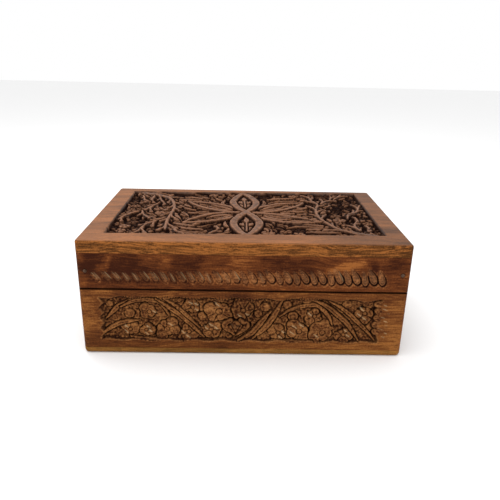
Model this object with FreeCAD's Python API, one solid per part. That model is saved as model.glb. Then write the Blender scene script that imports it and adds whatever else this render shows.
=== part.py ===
import FreeCAD
import Part
import math
import os

# Hand-carved wooden jewelry box with a hinged lid and a velvet lining.
# Millimetres. X runs along the front, Y from the front to the back, Z up.
# The origin is the middle of the underside. All places are with the lid closed.

Vector = FreeCAD.Vector

# Case
BOX_WIDTH = 203.0
BOX_DEPTH = 128.0
BASE_HEIGHT = 45.0  # underside to the middle of the seam
LID_HEIGHT = 31.5  # middle of the seam to the top
WALL = 10.0
BOTTOM_THICK = 4.2
TOP_THICK = 8.0
SEAM_GAP = 0.6
CORNER_RADIUS = 2.6  # upright outer corners
TOP_EDGE_RADIUS = 1.5
BOTTOM_EDGE_RADIUS = 2.4

# Carved fields, cut to the mean depth of the relief
TOP_BORDER_SIDE = 13.5
TOP_BORDER_FRONT = 12.5
TOP_BORDER_BACK = 10.5
TOP_CARVING_DEPTH = 1.5
MEDALLION_WIDTH = 23.0
MEDALLION_BAND = 4.5
MEDALLION_TIP = 9.0  # outer tip to the inner tip of each oval
MEDALLION_OVERLAP = 4.0  # how far the two ovals run into each other
MEDALLION_END_GAP = 1.0
PANEL_BORDER_FRONT = 11.0  # ends of the front wall
PANEL_BORDER_END = 1.5  # ends of the side walls
PANEL_BORDER_TOP = 5.0
PANEL_BORDER_BOTTOM = 4.5  # above the bottom board
PANEL_CARVING_DEPTH = 0.8

# Row of gouge cuts round the lid
GOUGE_PITCH = 5.4
GOUGE_LENGTH = 8.0
GOUGE_WIDTH = 3.4
GOUGE_DEPTH = 0.7
GOUGE_SLANT = 25.0  # degrees from upright
GOUGE_ROW_RISE = 9.5  # seam to the middle of the row
GOUGE_MARGIN_FRONT = 11.0  # ends of the front wall
GOUGE_MARGIN_END = 5.0  # ends of the side walls

# Velvet lining on card
LINING_THICK = 1.5
FLOOR_PAD_THICK = 2.0
LINING_CLEARANCE = 0.1  # between the linings of the base and the lid

# Hinges
HINGE_LENGTH = 25.0
HINGE_END_DISTANCE = 42.0  # end of the box to the middle of a hinge
KNUCKLE_COUNT = 5
KNUCKLE_GAP = 0.15
PIN_RADIUS = 0.9
PIN_CLEARANCE = 0.05
CURL_THICK = 0.95
LEAF_THICK = 0.9
LEAF_EDGE_MARGIN = 1.5  # inner face of the wall to the leaf's free edge
AXIS_INSET = 3.0  # back face to the hinge axis
BARREL_CLEARANCE = 0.35
OPEN_ANGLE = 100.0
STOP_CLEARANCE = 0.1

# Hinge screws, countersunk and slotted
SCREW_HEAD_CLEARANCE = 0.4  # head to the barrel, and to the leaf's free edge
SCREW_SHANK_SHARE = 0.54  # of the head's radius
SCREW_LENGTH = 8.0
SCREW_SLOT_WIDTH = 0.4
SCREW_SLOT_DEPTH = 0.3
SCREW_END_DISTANCE = 5.0  # end of the leaf to the screw

# Wire nails
NAIL_SHANK_RADIUS = 0.7
NAIL_HEAD_RADIUS = 1.1
NAIL_HEAD_THICK = 0.6
CORNER_NAIL_LENGTH = 24.0
BOTTOM_NAIL_LENGTH = 16.0
BOTTOM_NAILS_LONG = 4
BOTTOM_NAILS_SHORT = 2

HALF_WIDTH = BOX_WIDTH / 2
HALF_DEPTH = BOX_DEPTH / 2
TOP = BASE_HEIGHT + LID_HEIGHT
BASE_RIM = BASE_HEIGHT - SEAM_GAP / 2
LID_RIM = BASE_HEIGHT + SEAM_GAP / 2
TOP_UNDERSIDE = TOP - TOP_THICK
SIDE_INNER = HALF_WIDTH - WALL
END_INNER = HALF_DEPTH - WALL
WALL_MIDDLE_X = HALF_WIDTH - WALL / 2
WALL_MIDDLE_Y = HALF_DEPTH - WALL / 2
AXIS_Y = HALF_DEPTH - AXIS_INSET
AXIS_Z = BASE_HEIGHT
BARREL_RADIUS = PIN_RADIUS + PIN_CLEARANCE + CURL_THICK
BEVEL_ANGLE = math.radians(OPEN_ANGLE / 2)
HINGE_X = HALF_WIDTH - HINGE_END_DISTANCE
BASE_LINING_TOP = LID_RIM - LINING_CLEARANCE
LEAF_REACH = WALL - AXIS_INSET - LEAF_EDGE_MARGIN
SCREW_INSET = (BARREL_RADIUS + LEAF_REACH) / 2  # hinge axis to the screw
SCREW_HEAD_RADIUS = (LEAF_REACH - BARREL_RADIUS) / 2 - SCREW_HEAD_CLEARANCE
SCREW_SHANK_RADIUS = SCREW_HEAD_RADIUS * SCREW_SHANK_SHARE
SCREW_HEAD_DEPTH = SCREW_HEAD_RADIUS - SCREW_SHANK_RADIUS
UP = Vector(0, 0, 1)
ALONG = Vector(1, 0, 0)
BACK = Vector(0, 1, 0)


def block(x0, x1, y0, y1, z0, z1):
    """Box between two corners."""
    return Part.makeBox(x1 - x0, y1 - y0, z1 - z0, Vector(x0, y0, z0))


def rod(radius, start, direction, length):
    """Round bar from a point along a direction."""
    return Part.makeCylinder(radius, length, start, direction)


def fused(shapes):
    """One solid from several that touch or overlap."""
    shapes = list(shapes)
    return shapes[0].multiFuse(shapes[1:]).removeSplitter()


def without(shape, tools):
    """The shape with every tool cut away."""
    tools = list(tools)
    return shape.cut(Part.makeCompound(tools)) if tools else shape


def rounded(shape, radius, chosen):
    """The shape with a fillet on each edge that chosen() accepts."""
    edges = [edge for edge in shape.Edges if chosen(edge)]
    return shape.makeFillet(radius, edges)


def is_upright(edge):
    box = edge.BoundBox
    return box.ZLength > max(box.XLength, box.YLength)


def at_outer_corner(edge):
    """An upright edge at one of the box's four outer corners."""
    middle = edge.BoundBox.Center
    outside = abs(abs(middle.x) - HALF_WIDTH) < 0.01 and abs(abs(middle.y) - HALF_DEPTH) < 0.01
    return is_upright(edge) and outside


def at_height(height):
    """A test for edges that lie flat at a height."""

    def chosen(edge):
        box = edge.BoundBox
        return abs(box.ZMin - height) < 0.01 and abs(box.ZMax - height) < 0.01

    return chosen


def export(name, shape):
    shape.exportStep(f"parts/{name}.step")


# Fasteners


def nail(point, direction, length):
    """Wire nail whose head's outer face is at point."""
    head = rod(NAIL_HEAD_RADIUS, point, direction, NAIL_HEAD_THICK)
    shank_length = length - 2 * NAIL_SHANK_RADIUS
    shank = rod(NAIL_SHANK_RADIUS, point, direction, shank_length)
    tip_start = point + direction * shank_length
    tip = Part.makeCone(NAIL_SHANK_RADIUS, 0.1, 2 * NAIL_SHANK_RADIUS, tip_start, direction)
    return fused([head, shank, tip])


def screw_blank(point, direction):
    """Countersunk screw with no slot, whose head's outer face is at point."""
    head = Part.makeCone(
        SCREW_HEAD_RADIUS, SCREW_SHANK_RADIUS, SCREW_HEAD_DEPTH, point, direction
    )
    shank_length = SCREW_LENGTH - 2 * SCREW_SHANK_RADIUS
    shank = rod(SCREW_SHANK_RADIUS, point, direction, shank_length)
    tip_start = point + direction * shank_length
    tip = Part.makeCone(SCREW_SHANK_RADIUS, 0.1, 2 * SCREW_SHANK_RADIUS, tip_start, direction)
    return fused([head, shank, tip])


def slotted(screw, point, direction, turn):
    """The screw with a straight driver slot at an angle."""
    half = SCREW_HEAD_RADIUS + 0.5
    slot = block(
        -half, half, -SCREW_SLOT_WIDTH / 2, SCREW_SLOT_WIDTH / 2, -1.0, SCREW_SLOT_DEPTH
    )
    if direction.z < 0:
        slot.rotate(Vector(0, 0, 0), ALONG, 180)
    slot.rotate(Vector(0, 0, 0), UP, turn)
    slot.translate(point)
    return screw.cut(slot)


def corner_nails(height):
    """Nails through the front and back walls into the ends of the side walls."""
    nails = []
    for side in (-1, 1):
        for end in (-1, 1):
            head = Vector(side * WALL_MIDDLE_X, end * HALF_DEPTH, height)
            nails.append(nail(head, BACK * -end, CORNER_NAIL_LENGTH))
    return nails


def spread(count, half_span):
    """Evenly spaced places from -half_span to half_span."""
    return [half_span * (2 * i / (count - 1) - 1) for i in range(count)]


def bottom_nails():
    """Nails from the underside up into the base walls."""
    long_places = spread(BOTTOM_NAILS_LONG, HALF_WIDTH - 2 * WALL)
    short_places = spread(BOTTOM_NAILS_SHORT, END_INNER - 2 * WALL)
    points = [(x, end * WALL_MIDDLE_Y) for x in long_places for end in (-1, 1)]
    points += [(side * WALL_MIDDLE_X, y) for y in short_places for side in (-1, 1)]
    return [nail(Vector(x, y, 0), UP, BOTTOM_NAIL_LENGTH) for x, y in points]


# Carving


def pointed_oval(width, length, x, y, z, height):
    """Upright-sided solid whose plan is two equal arcs that meet in points along Y."""
    top = Vector(x, y + length / 2, z)
    bottom = Vector(x, y - length / 2, z)
    right = Part.Arc(bottom, Vector(x + width / 2, y, z), top).toShape()
    left = Part.Arc(top, Vector(x - width / 2, y, z), bottom).toShape()
    return Part.Face(Part.Wire([right, left])).extrude(UP * height)


def top_field_cut():
    """Sunk field of the lid, which leaves the bands of its two pointed ovals."""
    front = -HALF_DEPTH + TOP_BORDER_FRONT
    back = HALF_DEPTH - TOP_BORDER_BACK
    side = HALF_WIDTH - TOP_BORDER_SIDE
    floor = TOP - TOP_CARVING_DEPTH
    above = TOP_CARVING_DEPTH + 1
    length = (back - front + MEDALLION_OVERLAP) / 2 - MEDALLION_END_GAP
    middle = (front + back) / 2
    outlines = []
    openings = []
    for end in (-1, 1):
        y = middle + end * (length - MEDALLION_OVERLAP) / 2
        inner_width = MEDALLION_WIDTH - 2 * MEDALLION_BAND
        inner_length = length - 2 * MEDALLION_TIP
        outlines.append(pointed_oval(MEDALLION_WIDTH, length, 0, y, floor, above))
        openings.append(pointed_oval(inner_width, inner_length, 0, y, floor, above))
    bands = without(fused(outlines), openings)
    return block(-side, side, front, back, floor, floor + above).cut(bands)


def gouge(x, y, z, across):
    """Slanted scoop cut in an upright face. The face's outward direction is across."""
    sideways = UP.cross(across)
    slant = math.radians(GOUGE_SLANT)
    direction = UP * math.cos(slant) - sideways * math.sin(slant)
    radius = (GOUGE_WIDTH**2 / 4 + GOUGE_DEPTH**2) / (2 * GOUGE_DEPTH)
    centre = Vector(x, y, z) + across * (radius - GOUGE_DEPTH)
    start = centre - direction * (GOUGE_LENGTH / 2)
    return rod(radius, start, direction, GOUGE_LENGTH)


def gouge_row(half_span, face, across):
    """The row of scoops along one face of the lid."""
    count = int(2 * half_span / GOUGE_PITCH) + 1
    height = BASE_HEIGHT + GOUGE_ROW_RISE
    places = spread(count, half_span)
    if abs(across.y) > 0.5:
        return [gouge(place, face, height, across) for place in places]
    return [gouge(face, place, height, across) for place in places]


def panel_field(along_x, half, face, sign):
    """Shallow carved field on one upright face of the base."""
    low = BOTTOM_THICK + PANEL_BORDER_BOTTOM
    high = BASE_RIM - PANEL_BORDER_TOP
    inner = face - sign * PANEL_CARVING_DEPTH
    near, far = sorted((inner, face + sign))
    if along_x:
        return block(-half, half, near, far, low, high)
    return block(near, far, -half, half, low, high)


# Case


def side_wall(side, z0, z1):
    x0, x1 = sorted((side * SIDE_INNER, side * HALF_WIDTH))
    return block(x0, x1, -END_INNER, END_INNER, z0, z1)


def long_wall(end, z0, z1):
    """Front or back wall, which runs the full width over the ends of the side walls."""
    y0, y1 = sorted((end * END_INNER, end * HALF_DEPTH))
    wall = block(-HALF_WIDTH, HALF_WIDTH, y0, y1, z0, z1)
    return rounded(wall, CORNER_RADIUS, at_outer_corner)


def board(z0, z1):
    whole = block(-HALF_WIDTH, HALF_WIDTH, -HALF_DEPTH, HALF_DEPTH, z0, z1)
    return rounded(whole, CORNER_RADIUS, is_upright)


def stop_bevel(up):
    """Wedge behind the hinge axis. The two bevels meet when the lid is fully open."""
    reach = AXIS_INSET + 2
    drop = STOP_CLEARANCE / math.cos(BEVEL_ANGLE)
    far = drop + reach * math.tan(BEVEL_ANGLE)
    past = SEAM_GAP + 1
    corners = [(-0.01, past), (-0.01, -drop), (reach, -far), (reach, past)]
    points = [Vector(-HALF_WIDTH - 1, AXIS_Y + y, AXIS_Z + up * z) for y, z in corners]
    face = Part.Face(Part.makePolygon(points + points[:1]))
    return face.extrude(ALONG * (BOX_WIDTH + 2))


def hinge_recesses(up):
    """Room for each hinge's leaf and barrel in the rim of a back wall."""
    tools = []
    rim = AXIS_Z + up * SEAM_GAP / 2
    z0, z1 = sorted((rim + up * LEAF_THICK, AXIS_Z))
    for side in (-1, 1):
        x = side * HINGE_X - HINGE_LENGTH / 2
        tools.append(block(x, x + HINGE_LENGTH, AXIS_Y - LEAF_REACH, AXIS_Y, z0, z1))
        start = Vector(x - BARREL_CLEARANCE, AXIS_Y, AXIS_Z)
        length = HINGE_LENGTH + 2 * BARREL_CLEARANCE
        tools.append(rod(BARREL_RADIUS + BARREL_CLEARANCE, start, ALONG, length))
    return tools


# Hinges


def knuckle_span(index):
    """Start and length of one knuckle, from the hinge's left end."""
    pitch = HINGE_LENGTH / KNUCKLE_COUNT
    start = index * pitch + (KNUCKLE_GAP / 2 if index else 0)
    end = (index + 1) * pitch - (KNUCKLE_GAP / 2 if index < KNUCKLE_COUNT - 1 else 0)
    return start, end - start


def screw_points(side, up):
    """Outer faces of the screw heads of one leaf."""
    z = AXIS_Z + up * SEAM_GAP / 2
    half = HINGE_LENGTH / 2 - SCREW_END_DISTANCE
    return [
        Vector(side * HINGE_X + place, AXIS_Y - SCREW_INSET, z) for place in (-half, half)
    ]


def hinge_leaf(side, up):
    """Leaf with its share of the knuckles: even ones on the base, odd ones on the lid."""
    left = side * HINGE_X - HINGE_LENGTH / 2
    z0, z1 = sorted((AXIS_Z + up * SEAM_GAP / 2, AXIS_Z + up * (SEAM_GAP / 2 + LEAF_THICK)))
    plate = block(left, left + HINGE_LENGTH, AXIS_Y - LEAF_REACH, AXIS_Y, z0, z1)
    own = 1 if up > 0 else 0
    knuckles = []
    notches = []
    for index in range(KNUCKLE_COUNT):
        start, length = knuckle_span(index)
        at = Vector(left + start, AXIS_Y, AXIS_Z)
        if index % 2 == own:
            knuckles.append(rod(BARREL_RADIUS, at, ALONG, length))
        else:
            at -= ALONG * KNUCKLE_GAP
            notch = BARREL_RADIUS + KNUCKLE_GAP
            notches.append(rod(notch, at, ALONG, length + 2 * KNUCKLE_GAP))
    bore_radius = PIN_RADIUS + (PIN_CLEARANCE if up > 0 else 0)
    bore = rod(bore_radius, Vector(left - 1, AXIS_Y, AXIS_Z), ALONG, HINGE_LENGTH + 2)
    leaf = without(fused([without(plate, notches)] + knuckles), [bore])
    return without(leaf, [screw_blank(p, UP * up) for p in screw_points(side, up)])


def hinge_pin(side):
    left = side * HINGE_X - HINGE_LENGTH / 2
    return rod(PIN_RADIUS, Vector(left, AXIS_Y, AXIS_Z), ALONG, HINGE_LENGTH)


def hinge_screws(side, up):
    screws = []
    for index, point in enumerate(screw_points(side, up)):
        turn = 35 + 70 * index + 20 * side
        screws.append(slotted(screw_blank(point, UP * up), point, UP * up, turn))
    return screws


# Lining


def lining_wall(side, end, z0, z1):
    """Velvet-covered card against one wall. The front and back pieces run full length."""
    if end:
        y0, y1 = sorted((end * END_INNER, end * (END_INNER - LINING_THICK)))
        return block(-SIDE_INNER, SIDE_INNER, y0, y1, z0, z1)
    x0, x1 = sorted((side * SIDE_INNER, side * (SIDE_INNER - LINING_THICK)))
    half = END_INNER - LINING_THICK
    return block(x0, x1, -half, half, z0, z1)


PLACES = {"left": (-1, 0), "right": (1, 0), "front": (0, -1), "back": (0, 1)}


def build_lining():
    floor = BOTTOM_THICK + FLOOR_PAD_THICK
    ceiling = TOP_UNDERSIDE - LINING_THICK
    pad = block(-SIDE_INNER, SIDE_INNER, -END_INNER, END_INNER, BOTTOM_THICK, floor)
    export("base_floor_pad", pad)
    panel = block(-SIDE_INNER, SIDE_INNER, -END_INNER, END_INNER, ceiling, TOP_UNDERSIDE)
    export("lid_ceiling_pad", panel)
    for name, (side, end) in PLACES.items():
        export(f"base_lining_{name}", lining_wall(side, end, floor, BASE_LINING_TOP))
        export(f"lid_lining_{name}", lining_wall(side, end, LID_RIM, ceiling))


def build_base():
    nails = bottom_nails()
    screws = [screw_blank(p, -UP) for side in (-1, 1) for p in screw_points(side, -1)]
    bottom = rounded(board(0, BOTTOM_THICK), BOTTOM_EDGE_RADIUS, at_height(0))
    export("bottom_board", without(bottom, nails))
    front = long_wall(-1, BOTTOM_THICK, BASE_RIM)
    front = without(front, [panel_field(True, HALF_WIDTH - PANEL_BORDER_FRONT, -HALF_DEPTH, -1)])
    export("base_front_wall", without(front, nails))
    back = long_wall(1, BOTTOM_THICK, BASE_RIM)
    back = without(back, [stop_bevel(1)] + hinge_recesses(-1))
    export("base_back_wall", without(back, nails + screws))
    for name, side in (("left", -1), ("right", 1)):
        wall = side_wall(side, BOTTOM_THICK, BASE_RIM)
        wall = without(wall, [panel_field(False, END_INNER - PANEL_BORDER_END, side * HALF_WIDTH, side)])
        export(f"base_{name}_wall", without(wall, nails))
    export("bottom_nails", Part.makeCompound(nails))


def build_lid():
    height = LID_RIM + (TOP_UNDERSIDE - LID_RIM) / 2
    nails = corner_nails(height)
    screws = [screw_blank(p, UP) for side in (-1, 1) for p in screw_points(side, 1)]
    top = rounded(board(TOP_UNDERSIDE, TOP), TOP_EDGE_RADIUS, at_height(TOP))
    export("lid_top_board", without(top, [top_field_cut()]))
    front = long_wall(-1, LID_RIM, TOP_UNDERSIDE)
    front = without(front, gouge_row(HALF_WIDTH - GOUGE_MARGIN_FRONT, -HALF_DEPTH, -BACK))
    export("lid_front_wall", without(front, nails))
    back = long_wall(1, LID_RIM, TOP_UNDERSIDE)
    back = without(back, [stop_bevel(-1)] + hinge_recesses(1))
    export("lid_back_wall", without(back, nails + screws))
    for name, side in (("left", -1), ("right", 1)):
        wall = side_wall(side, LID_RIM, TOP_UNDERSIDE)
        wall = without(wall, gouge_row(END_INNER - GOUGE_MARGIN_END, side * HALF_WIDTH, ALONG * side))
        export(f"lid_{name}_wall", without(wall, nails))
    export("lid_corner_nails", Part.makeCompound(nails))


def build_hinges():
    for name, side in (("left", -1), ("right", 1)):
        export(f"{name}_hinge_pin", hinge_pin(side))
        for part, up in (("base", -1), ("lid", 1)):
            export(f"{name}_hinge_{part}_leaf", hinge_leaf(side, up))
            screws = Part.makeCompound(hinge_screws(side, up))
            export(f"{name}_hinge_{part}_screws", screws)


def main():
    os.makedirs("parts", exist_ok=True)
    build_base()
    build_lid()
    build_hinges()
    build_lining()


main()
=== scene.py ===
"""Looks of a hand-carved wooden jewelry box, laid out as a Blender add-on and run as a script.

Metres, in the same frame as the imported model: X along the front, Y towards the hinges, Z up.
Carving is worked out in millimetres on the face of each board.
"""

import math
from typing import NamedTuple

import bpy
import numpy as np
from mathutils import Matrix, Vector


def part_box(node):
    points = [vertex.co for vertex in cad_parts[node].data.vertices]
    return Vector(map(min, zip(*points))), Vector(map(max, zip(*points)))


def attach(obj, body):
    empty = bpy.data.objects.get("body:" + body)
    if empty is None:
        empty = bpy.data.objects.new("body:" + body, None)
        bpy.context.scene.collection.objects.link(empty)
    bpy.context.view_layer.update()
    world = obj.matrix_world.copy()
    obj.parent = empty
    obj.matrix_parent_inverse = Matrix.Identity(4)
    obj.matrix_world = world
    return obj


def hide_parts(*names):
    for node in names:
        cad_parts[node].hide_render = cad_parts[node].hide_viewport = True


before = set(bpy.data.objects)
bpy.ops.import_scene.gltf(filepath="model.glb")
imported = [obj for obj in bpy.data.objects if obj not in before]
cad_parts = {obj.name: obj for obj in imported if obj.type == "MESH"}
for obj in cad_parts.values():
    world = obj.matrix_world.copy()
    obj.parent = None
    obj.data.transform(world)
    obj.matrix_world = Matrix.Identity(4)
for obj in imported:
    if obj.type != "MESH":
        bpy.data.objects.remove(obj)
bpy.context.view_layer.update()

bl_info = {
    "name": "Carved jewelry box",
    "version": (1, 0, 0),
    "blender": (4, 5, 0),
    "location": "View3D > Sidebar > Jewelry box",
    "description": "Carved boards, velvet lining, hinges and finishes of a wooden jewelry box",
    "category": "Object",
}

MM = 0.001
GOLDEN_TURN = math.pi * (3 - math.sqrt(5))


# Settings


def length_prop(name, description, default):
    """Setting that holds a length. Its default is given in millimetres."""
    return bpy.props.FloatProperty(name=name, description=description, default=default * MM, unit="LENGTH")


def colour_prop(name, description, default):
    """Setting that holds a colour, as linear light."""
    return bpy.props.FloatVectorProperty(
        name=name, description=description, default=default, subtype="COLOR",
    )


class BoxSizes(bpy.types.PropertyGroup):
    """Sizes a maker would change."""

    top_depth: length_prop("Top carving depth", "How deep the ground of the lid's carving is cut", 3.2)
    front_depth: length_prop("Wall carving depth", "How deep the ground of the base's carving is cut", 1.5)
    gouge_depth: length_prop("Gouge depth", "Depth of the deepest gouge cut round the lid", 1.3)
    grid: length_prop("Carving grid", "Spacing of the mesh that holds the carving", 0.4)
    edge_round: length_prop("Edge rounding", "Radius of the lid's softened upper edge", 1.6)
    pad_crown: length_prop("Pad crown", "How far the velvet pads swell in the middle", 0.8)


class BoxColours(bpy.types.PropertyGroup):
    """Colours a maker would change, as linear light."""

    wood_light: colour_prop("Light wood", "Golden streaks of the walls", (0.30, 0.112, 0.026))
    wood_middle: colour_prop("Middle wood", "Red-brown of the walls", (0.125, 0.038, 0.009))
    wood_dark: colour_prop("Dark wood", "Dark figure of the walls", (0.046, 0.011, 0.003))
    top_wood: colour_prop("Top wood", "Plain border of the lid", (0.225, 0.083, 0.026))
    bottom_wood: colour_prop("Bottom wood", "Thin bottom board", (0.25, 0.108, 0.024))
    # Also the painted shade of the carving, in its hollows and beside its forms, as well as its stain.
    ground: colour_prop("Carved ground", "Stain that gathers in the deep parts", (0.008, 0.002, 0.001))
    # Pale cuts are bare wood, and partly a painted highlight on the cut's facets.
    fresh_cut_and_glint: colour_prop("Fresh cut", "Bare wood where a knife slipped", (0.55, 0.33, 0.13))
    velvet: colour_prop("Velvet", "Pile of the lining", (0.13, 0.003, 0.010))
    brass: colour_prop("Brass", "Hinges and their screws", (0.62, 0.40, 0.14))
    steel: colour_prop("Steel", "Nails and hinge pins", (0.16, 0.14, 0.12))


def sizes():
    """The sizes in use."""
    return bpy.context.scene.box_sizes


def colours():
    """The colours in use."""
    return bpy.context.scene.box_colours


# Shader maths


class Shade:
    """One output socket, so that sums on values read as arithmetic."""

    def __init__(self, paint, socket):
        self.paint = paint
        self.socket = socket

    def __add__(self, other):
        return self.paint.maths("ADD", self, other)

    def __radd__(self, other):
        return self.paint.maths("ADD", other, self)

    def __sub__(self, other):
        return self.paint.maths("SUBTRACT", self, other)

    def __rsub__(self, other):
        return self.paint.maths("SUBTRACT", other, self)

    def __mul__(self, other):
        return self.paint.maths("MULTIPLY", self, other)

    def __rmul__(self, other):
        return self.paint.maths("MULTIPLY", other, self)

    def clamped(self):
        """The value held between 0 and 1."""
        return self.paint.node("ShaderNodeClamp", {}, {"Value": self})

    def spread(self, low, high):
        """Even change from low, where the value is 0, to high, where it is 1."""
        return self * (high - low) + low

    def between(self, low, high):
        """Soft change from 0 at low to 1 at high."""
        settings = {"interpolation_type": "SMOOTHSTEP"}
        return self.paint.node("ShaderNodeMapRange", settings, {"Value": self, 1: low, 2: high})


class Paint:
    """A material under construction."""

    def __init__(self, name):
        self.material = bpy.data.materials.new(name)
        self.material.use_nodes = True
        self.tree = self.material.node_tree
        self.tree.nodes.clear()
        self.surface = self.tree.nodes.new("ShaderNodeBsdfPrincipled")
        output = self.tree.nodes.new("ShaderNodeOutputMaterial")
        self.tree.links.new(self.surface.outputs[0], output.inputs["Surface"])

    def set(self, socket, value):
        """Gives a socket a value or a link."""
        if isinstance(value, Shade):
            self.tree.links.new(value.socket, socket)
        elif isinstance(value, (int, float)) or len(value) == len(socket.default_value):
            socket.default_value = value
        else:
            socket.default_value = (*value, 1.0)

    def node(self, kind, settings, sockets, output=0):
        """Adds a node: its settings first, then its sockets. Gives one of its outputs."""
        node = self.tree.nodes.new(kind)
        for name, value in settings.items():
            if name == "stops":
                self.set_stops(node.color_ramp, value)
            else:
                setattr(node, name, value)
        for name, value in sockets.items():
            self.set(node.inputs[name], value)
        return Shade(self, node.outputs[output])

    def set_stops(self, ramp, stops):
        """Gives a colour ramp its places and colours."""
        while len(ramp.elements) < len(stops):
            ramp.elements.new(0.5)
        for element, (place, colour) in zip(ramp.elements, stops):
            element.position = place
            element.color = (*colour, 1.0)

    def maths(self, operation, first, second):
        return self.node("ShaderNodeMath", {"operation": operation}, {0: first, 1: second})

    def vector(self, operation, first, second, output="Vector"):
        return self.node("ShaderNodeVectorMath", {"operation": operation}, {0: first, 1: second}, output)

    def mix(self, share, first, second, blend="MIX"):
        """Colour between two, by a share."""
        settings = {"data_type": "RGBA", "blend_type": blend, "clamp_factor": True}
        return self.node("ShaderNodeMix", settings, {0: share, 6: first, 7: second}, 2)

    def place(self):
        """Place on the object, in millimetres."""
        place = self.node("ShaderNodeTexCoord", {}, {}, "Object")
        return self.vector("MULTIPLY", place, (1 / MM, 1 / MM, 1 / MM))

    def noise(self, vector, scale, detail=3.0, roughness=0.5):
        """Grey noise, whose scale is per millimetre."""
        values = {"Vector": vector, "Scale": scale, "Detail": detail, "Roughness": roughness}
        return self.node("ShaderNodeTexNoise", {}, values)

    def drifted(self, place, scale, detail, reach):
        """A place moved about by slow noise, up to a reach along each axis."""
        values = {"Vector": place, "Scale": scale, "Detail": detail}
        drift = self.node("ShaderNodeTexNoise", {}, values, "Color")
        return self.vector("ADD", place, self.vector("MULTIPLY", drift, reach))

    def attribute(self, name):
        """A value that the mesh carries at its points."""
        return self.node("ShaderNodeAttribute", {"attribute_name": name}, {}, "Fac")

    def bump(self, height, strength, distance):
        values = {"Strength": strength, "Distance": distance, "Height": height}
        return self.node("ShaderNodeBump", {}, values)

    def finish(self, **inputs):
        """Sets the surface's sockets and gives the material."""
        for name, value in inputs.items():
            self.set(self.surface.inputs[name.replace("_", " ")], value)
        return self.material


# Finishes

# Patches of the front boards' figure, in millimetres: middle in X and Z, half size in X and Z,
# rise per length, and how much darker than the rest. Less than 0 is lighter.
WALL_PATCHES = (
    ((-92, 64), (9, 7), 0.4, 0.40),
    ((-84, 60), (9, 5), 0.9, -0.14),
    ((-73, 61), (11, 8), 0.5, 0.34),
    ((-58, 60), (10, 7), 0.0, 0.18),
    ((-47, 64), (6, 3), -0.5, -0.2),
    ((-36, 61), (12, 8), 0.0, 0.38),
    ((-6, 62), (7, 8), 0.0, -0.16),
    ((18, 66), (8, 2.5), 0.0, 0.32),
    ((36, 62), (18, 5), 0.1, 0.28),
    ((63, 62), (16, 3), 0.25, -0.28),
    ((79, 62), (5, 8), 0.9, 0.42),
    ((92, 63), (9, 7), 0.3, 0.26),
    ((-99, 51), (4, 6), 0.0, -0.22),
    ((-64, 52), (42, 7), 0.0, 0.26),
    ((-98, 28), (6, 16), 0.0, -0.16),
    ((-70, 42.5), (22, 2.5), 0.0, 0.16),
    ((-86, 43), (9, 2), 0.0, -0.22),
    ((-14, 30), (10, 9), 0.3, -0.16),
    ((-3, 29), (12, 14), 0.0, 0.5),
    ((-6, 7), (26, 2.5), 0.0, 0.20),
    ((50, 7), (36, 2.5), 0.0, -0.05),
    ((96, 24), (8, 18), 0.0, -0.14),
)

# The lid's top, listed the same way. The first is painted shade, darker where light falls off to the right.
TOP_PATCHES_WITH_SHADE = (
    ((97, 76), (50, 30), 0.0, 0.26),
    ((20, 71), (70, 5), 0.0, -0.06),
)
FRAY = Vector((16.0, 0.0, 8.0))  # how far the outlines of the patches wander

# How far below the top of the lid its wax begins, and where it is full, in millimetres.
WAX_FROM = 0.8
WAX_FULL = 0.05

# What the wood's colours are multiplied by: on the lid's front edge, and as a painted sheen on carving.
EDGE_WARMTH = (1.0, 0.93, 0.66)
CARVING_SHEEN_TINT = (0.93, 1.04, 1.4)


def grain(paint, place, along):
    """Streaks along the board, its slow figure, and its pores."""
    long_axis = Vector((1, 0, 0)) if along == "X" else Vector((0, 1, 0))
    squeeze = Vector((1, 1, 1)) - long_axis * 0.96
    bent = paint.drifted(place, scale=0.012, detail=2.0, reach=(22.0, 22.0, 22.0))
    streaked = paint.vector("MULTIPLY", bent, squeeze)
    fine = paint.noise(streaked, scale=1.1, detail=5.0, roughness=0.65)
    broad = paint.vector("MULTIPLY", bent, squeeze + long_axis * 0.1)
    slow = paint.noise(broad, scale=0.11, detail=3.0, roughness=0.55)
    short = paint.vector("MULTIPLY", bent, squeeze + long_axis * 0.07)
    pores = paint.noise(short, scale=2.6, detail=2.0, roughness=0.5)
    return fine, slow, pores.between(0.60, 0.70)


def figure(paint, place, tone, patches):
    """Tone with darker and lighter patches, frayed along the grain."""
    frayed = paint.drifted(place, scale=0.11, detail=3.0, reach=FRAY)
    for (x, z), (wide, tall), rise, darker in patches:
        away = paint.vector("SUBTRACT", frayed, Vector((x, 0.0, z)) + FRAY / 2)
        axis_x = paint.vector("DOT_PRODUCT", away, (1 / wide, 0.0, rise / wide), "Value")
        axis_z = paint.vector("DOT_PRODUCT", away, (-rise / tall, 0.0, 1 / tall), "Value")
        tone = tone - (1 - (axis_x * axis_x + axis_z * axis_z).between(0.0, 1.7)) * darker
    return tone


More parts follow.
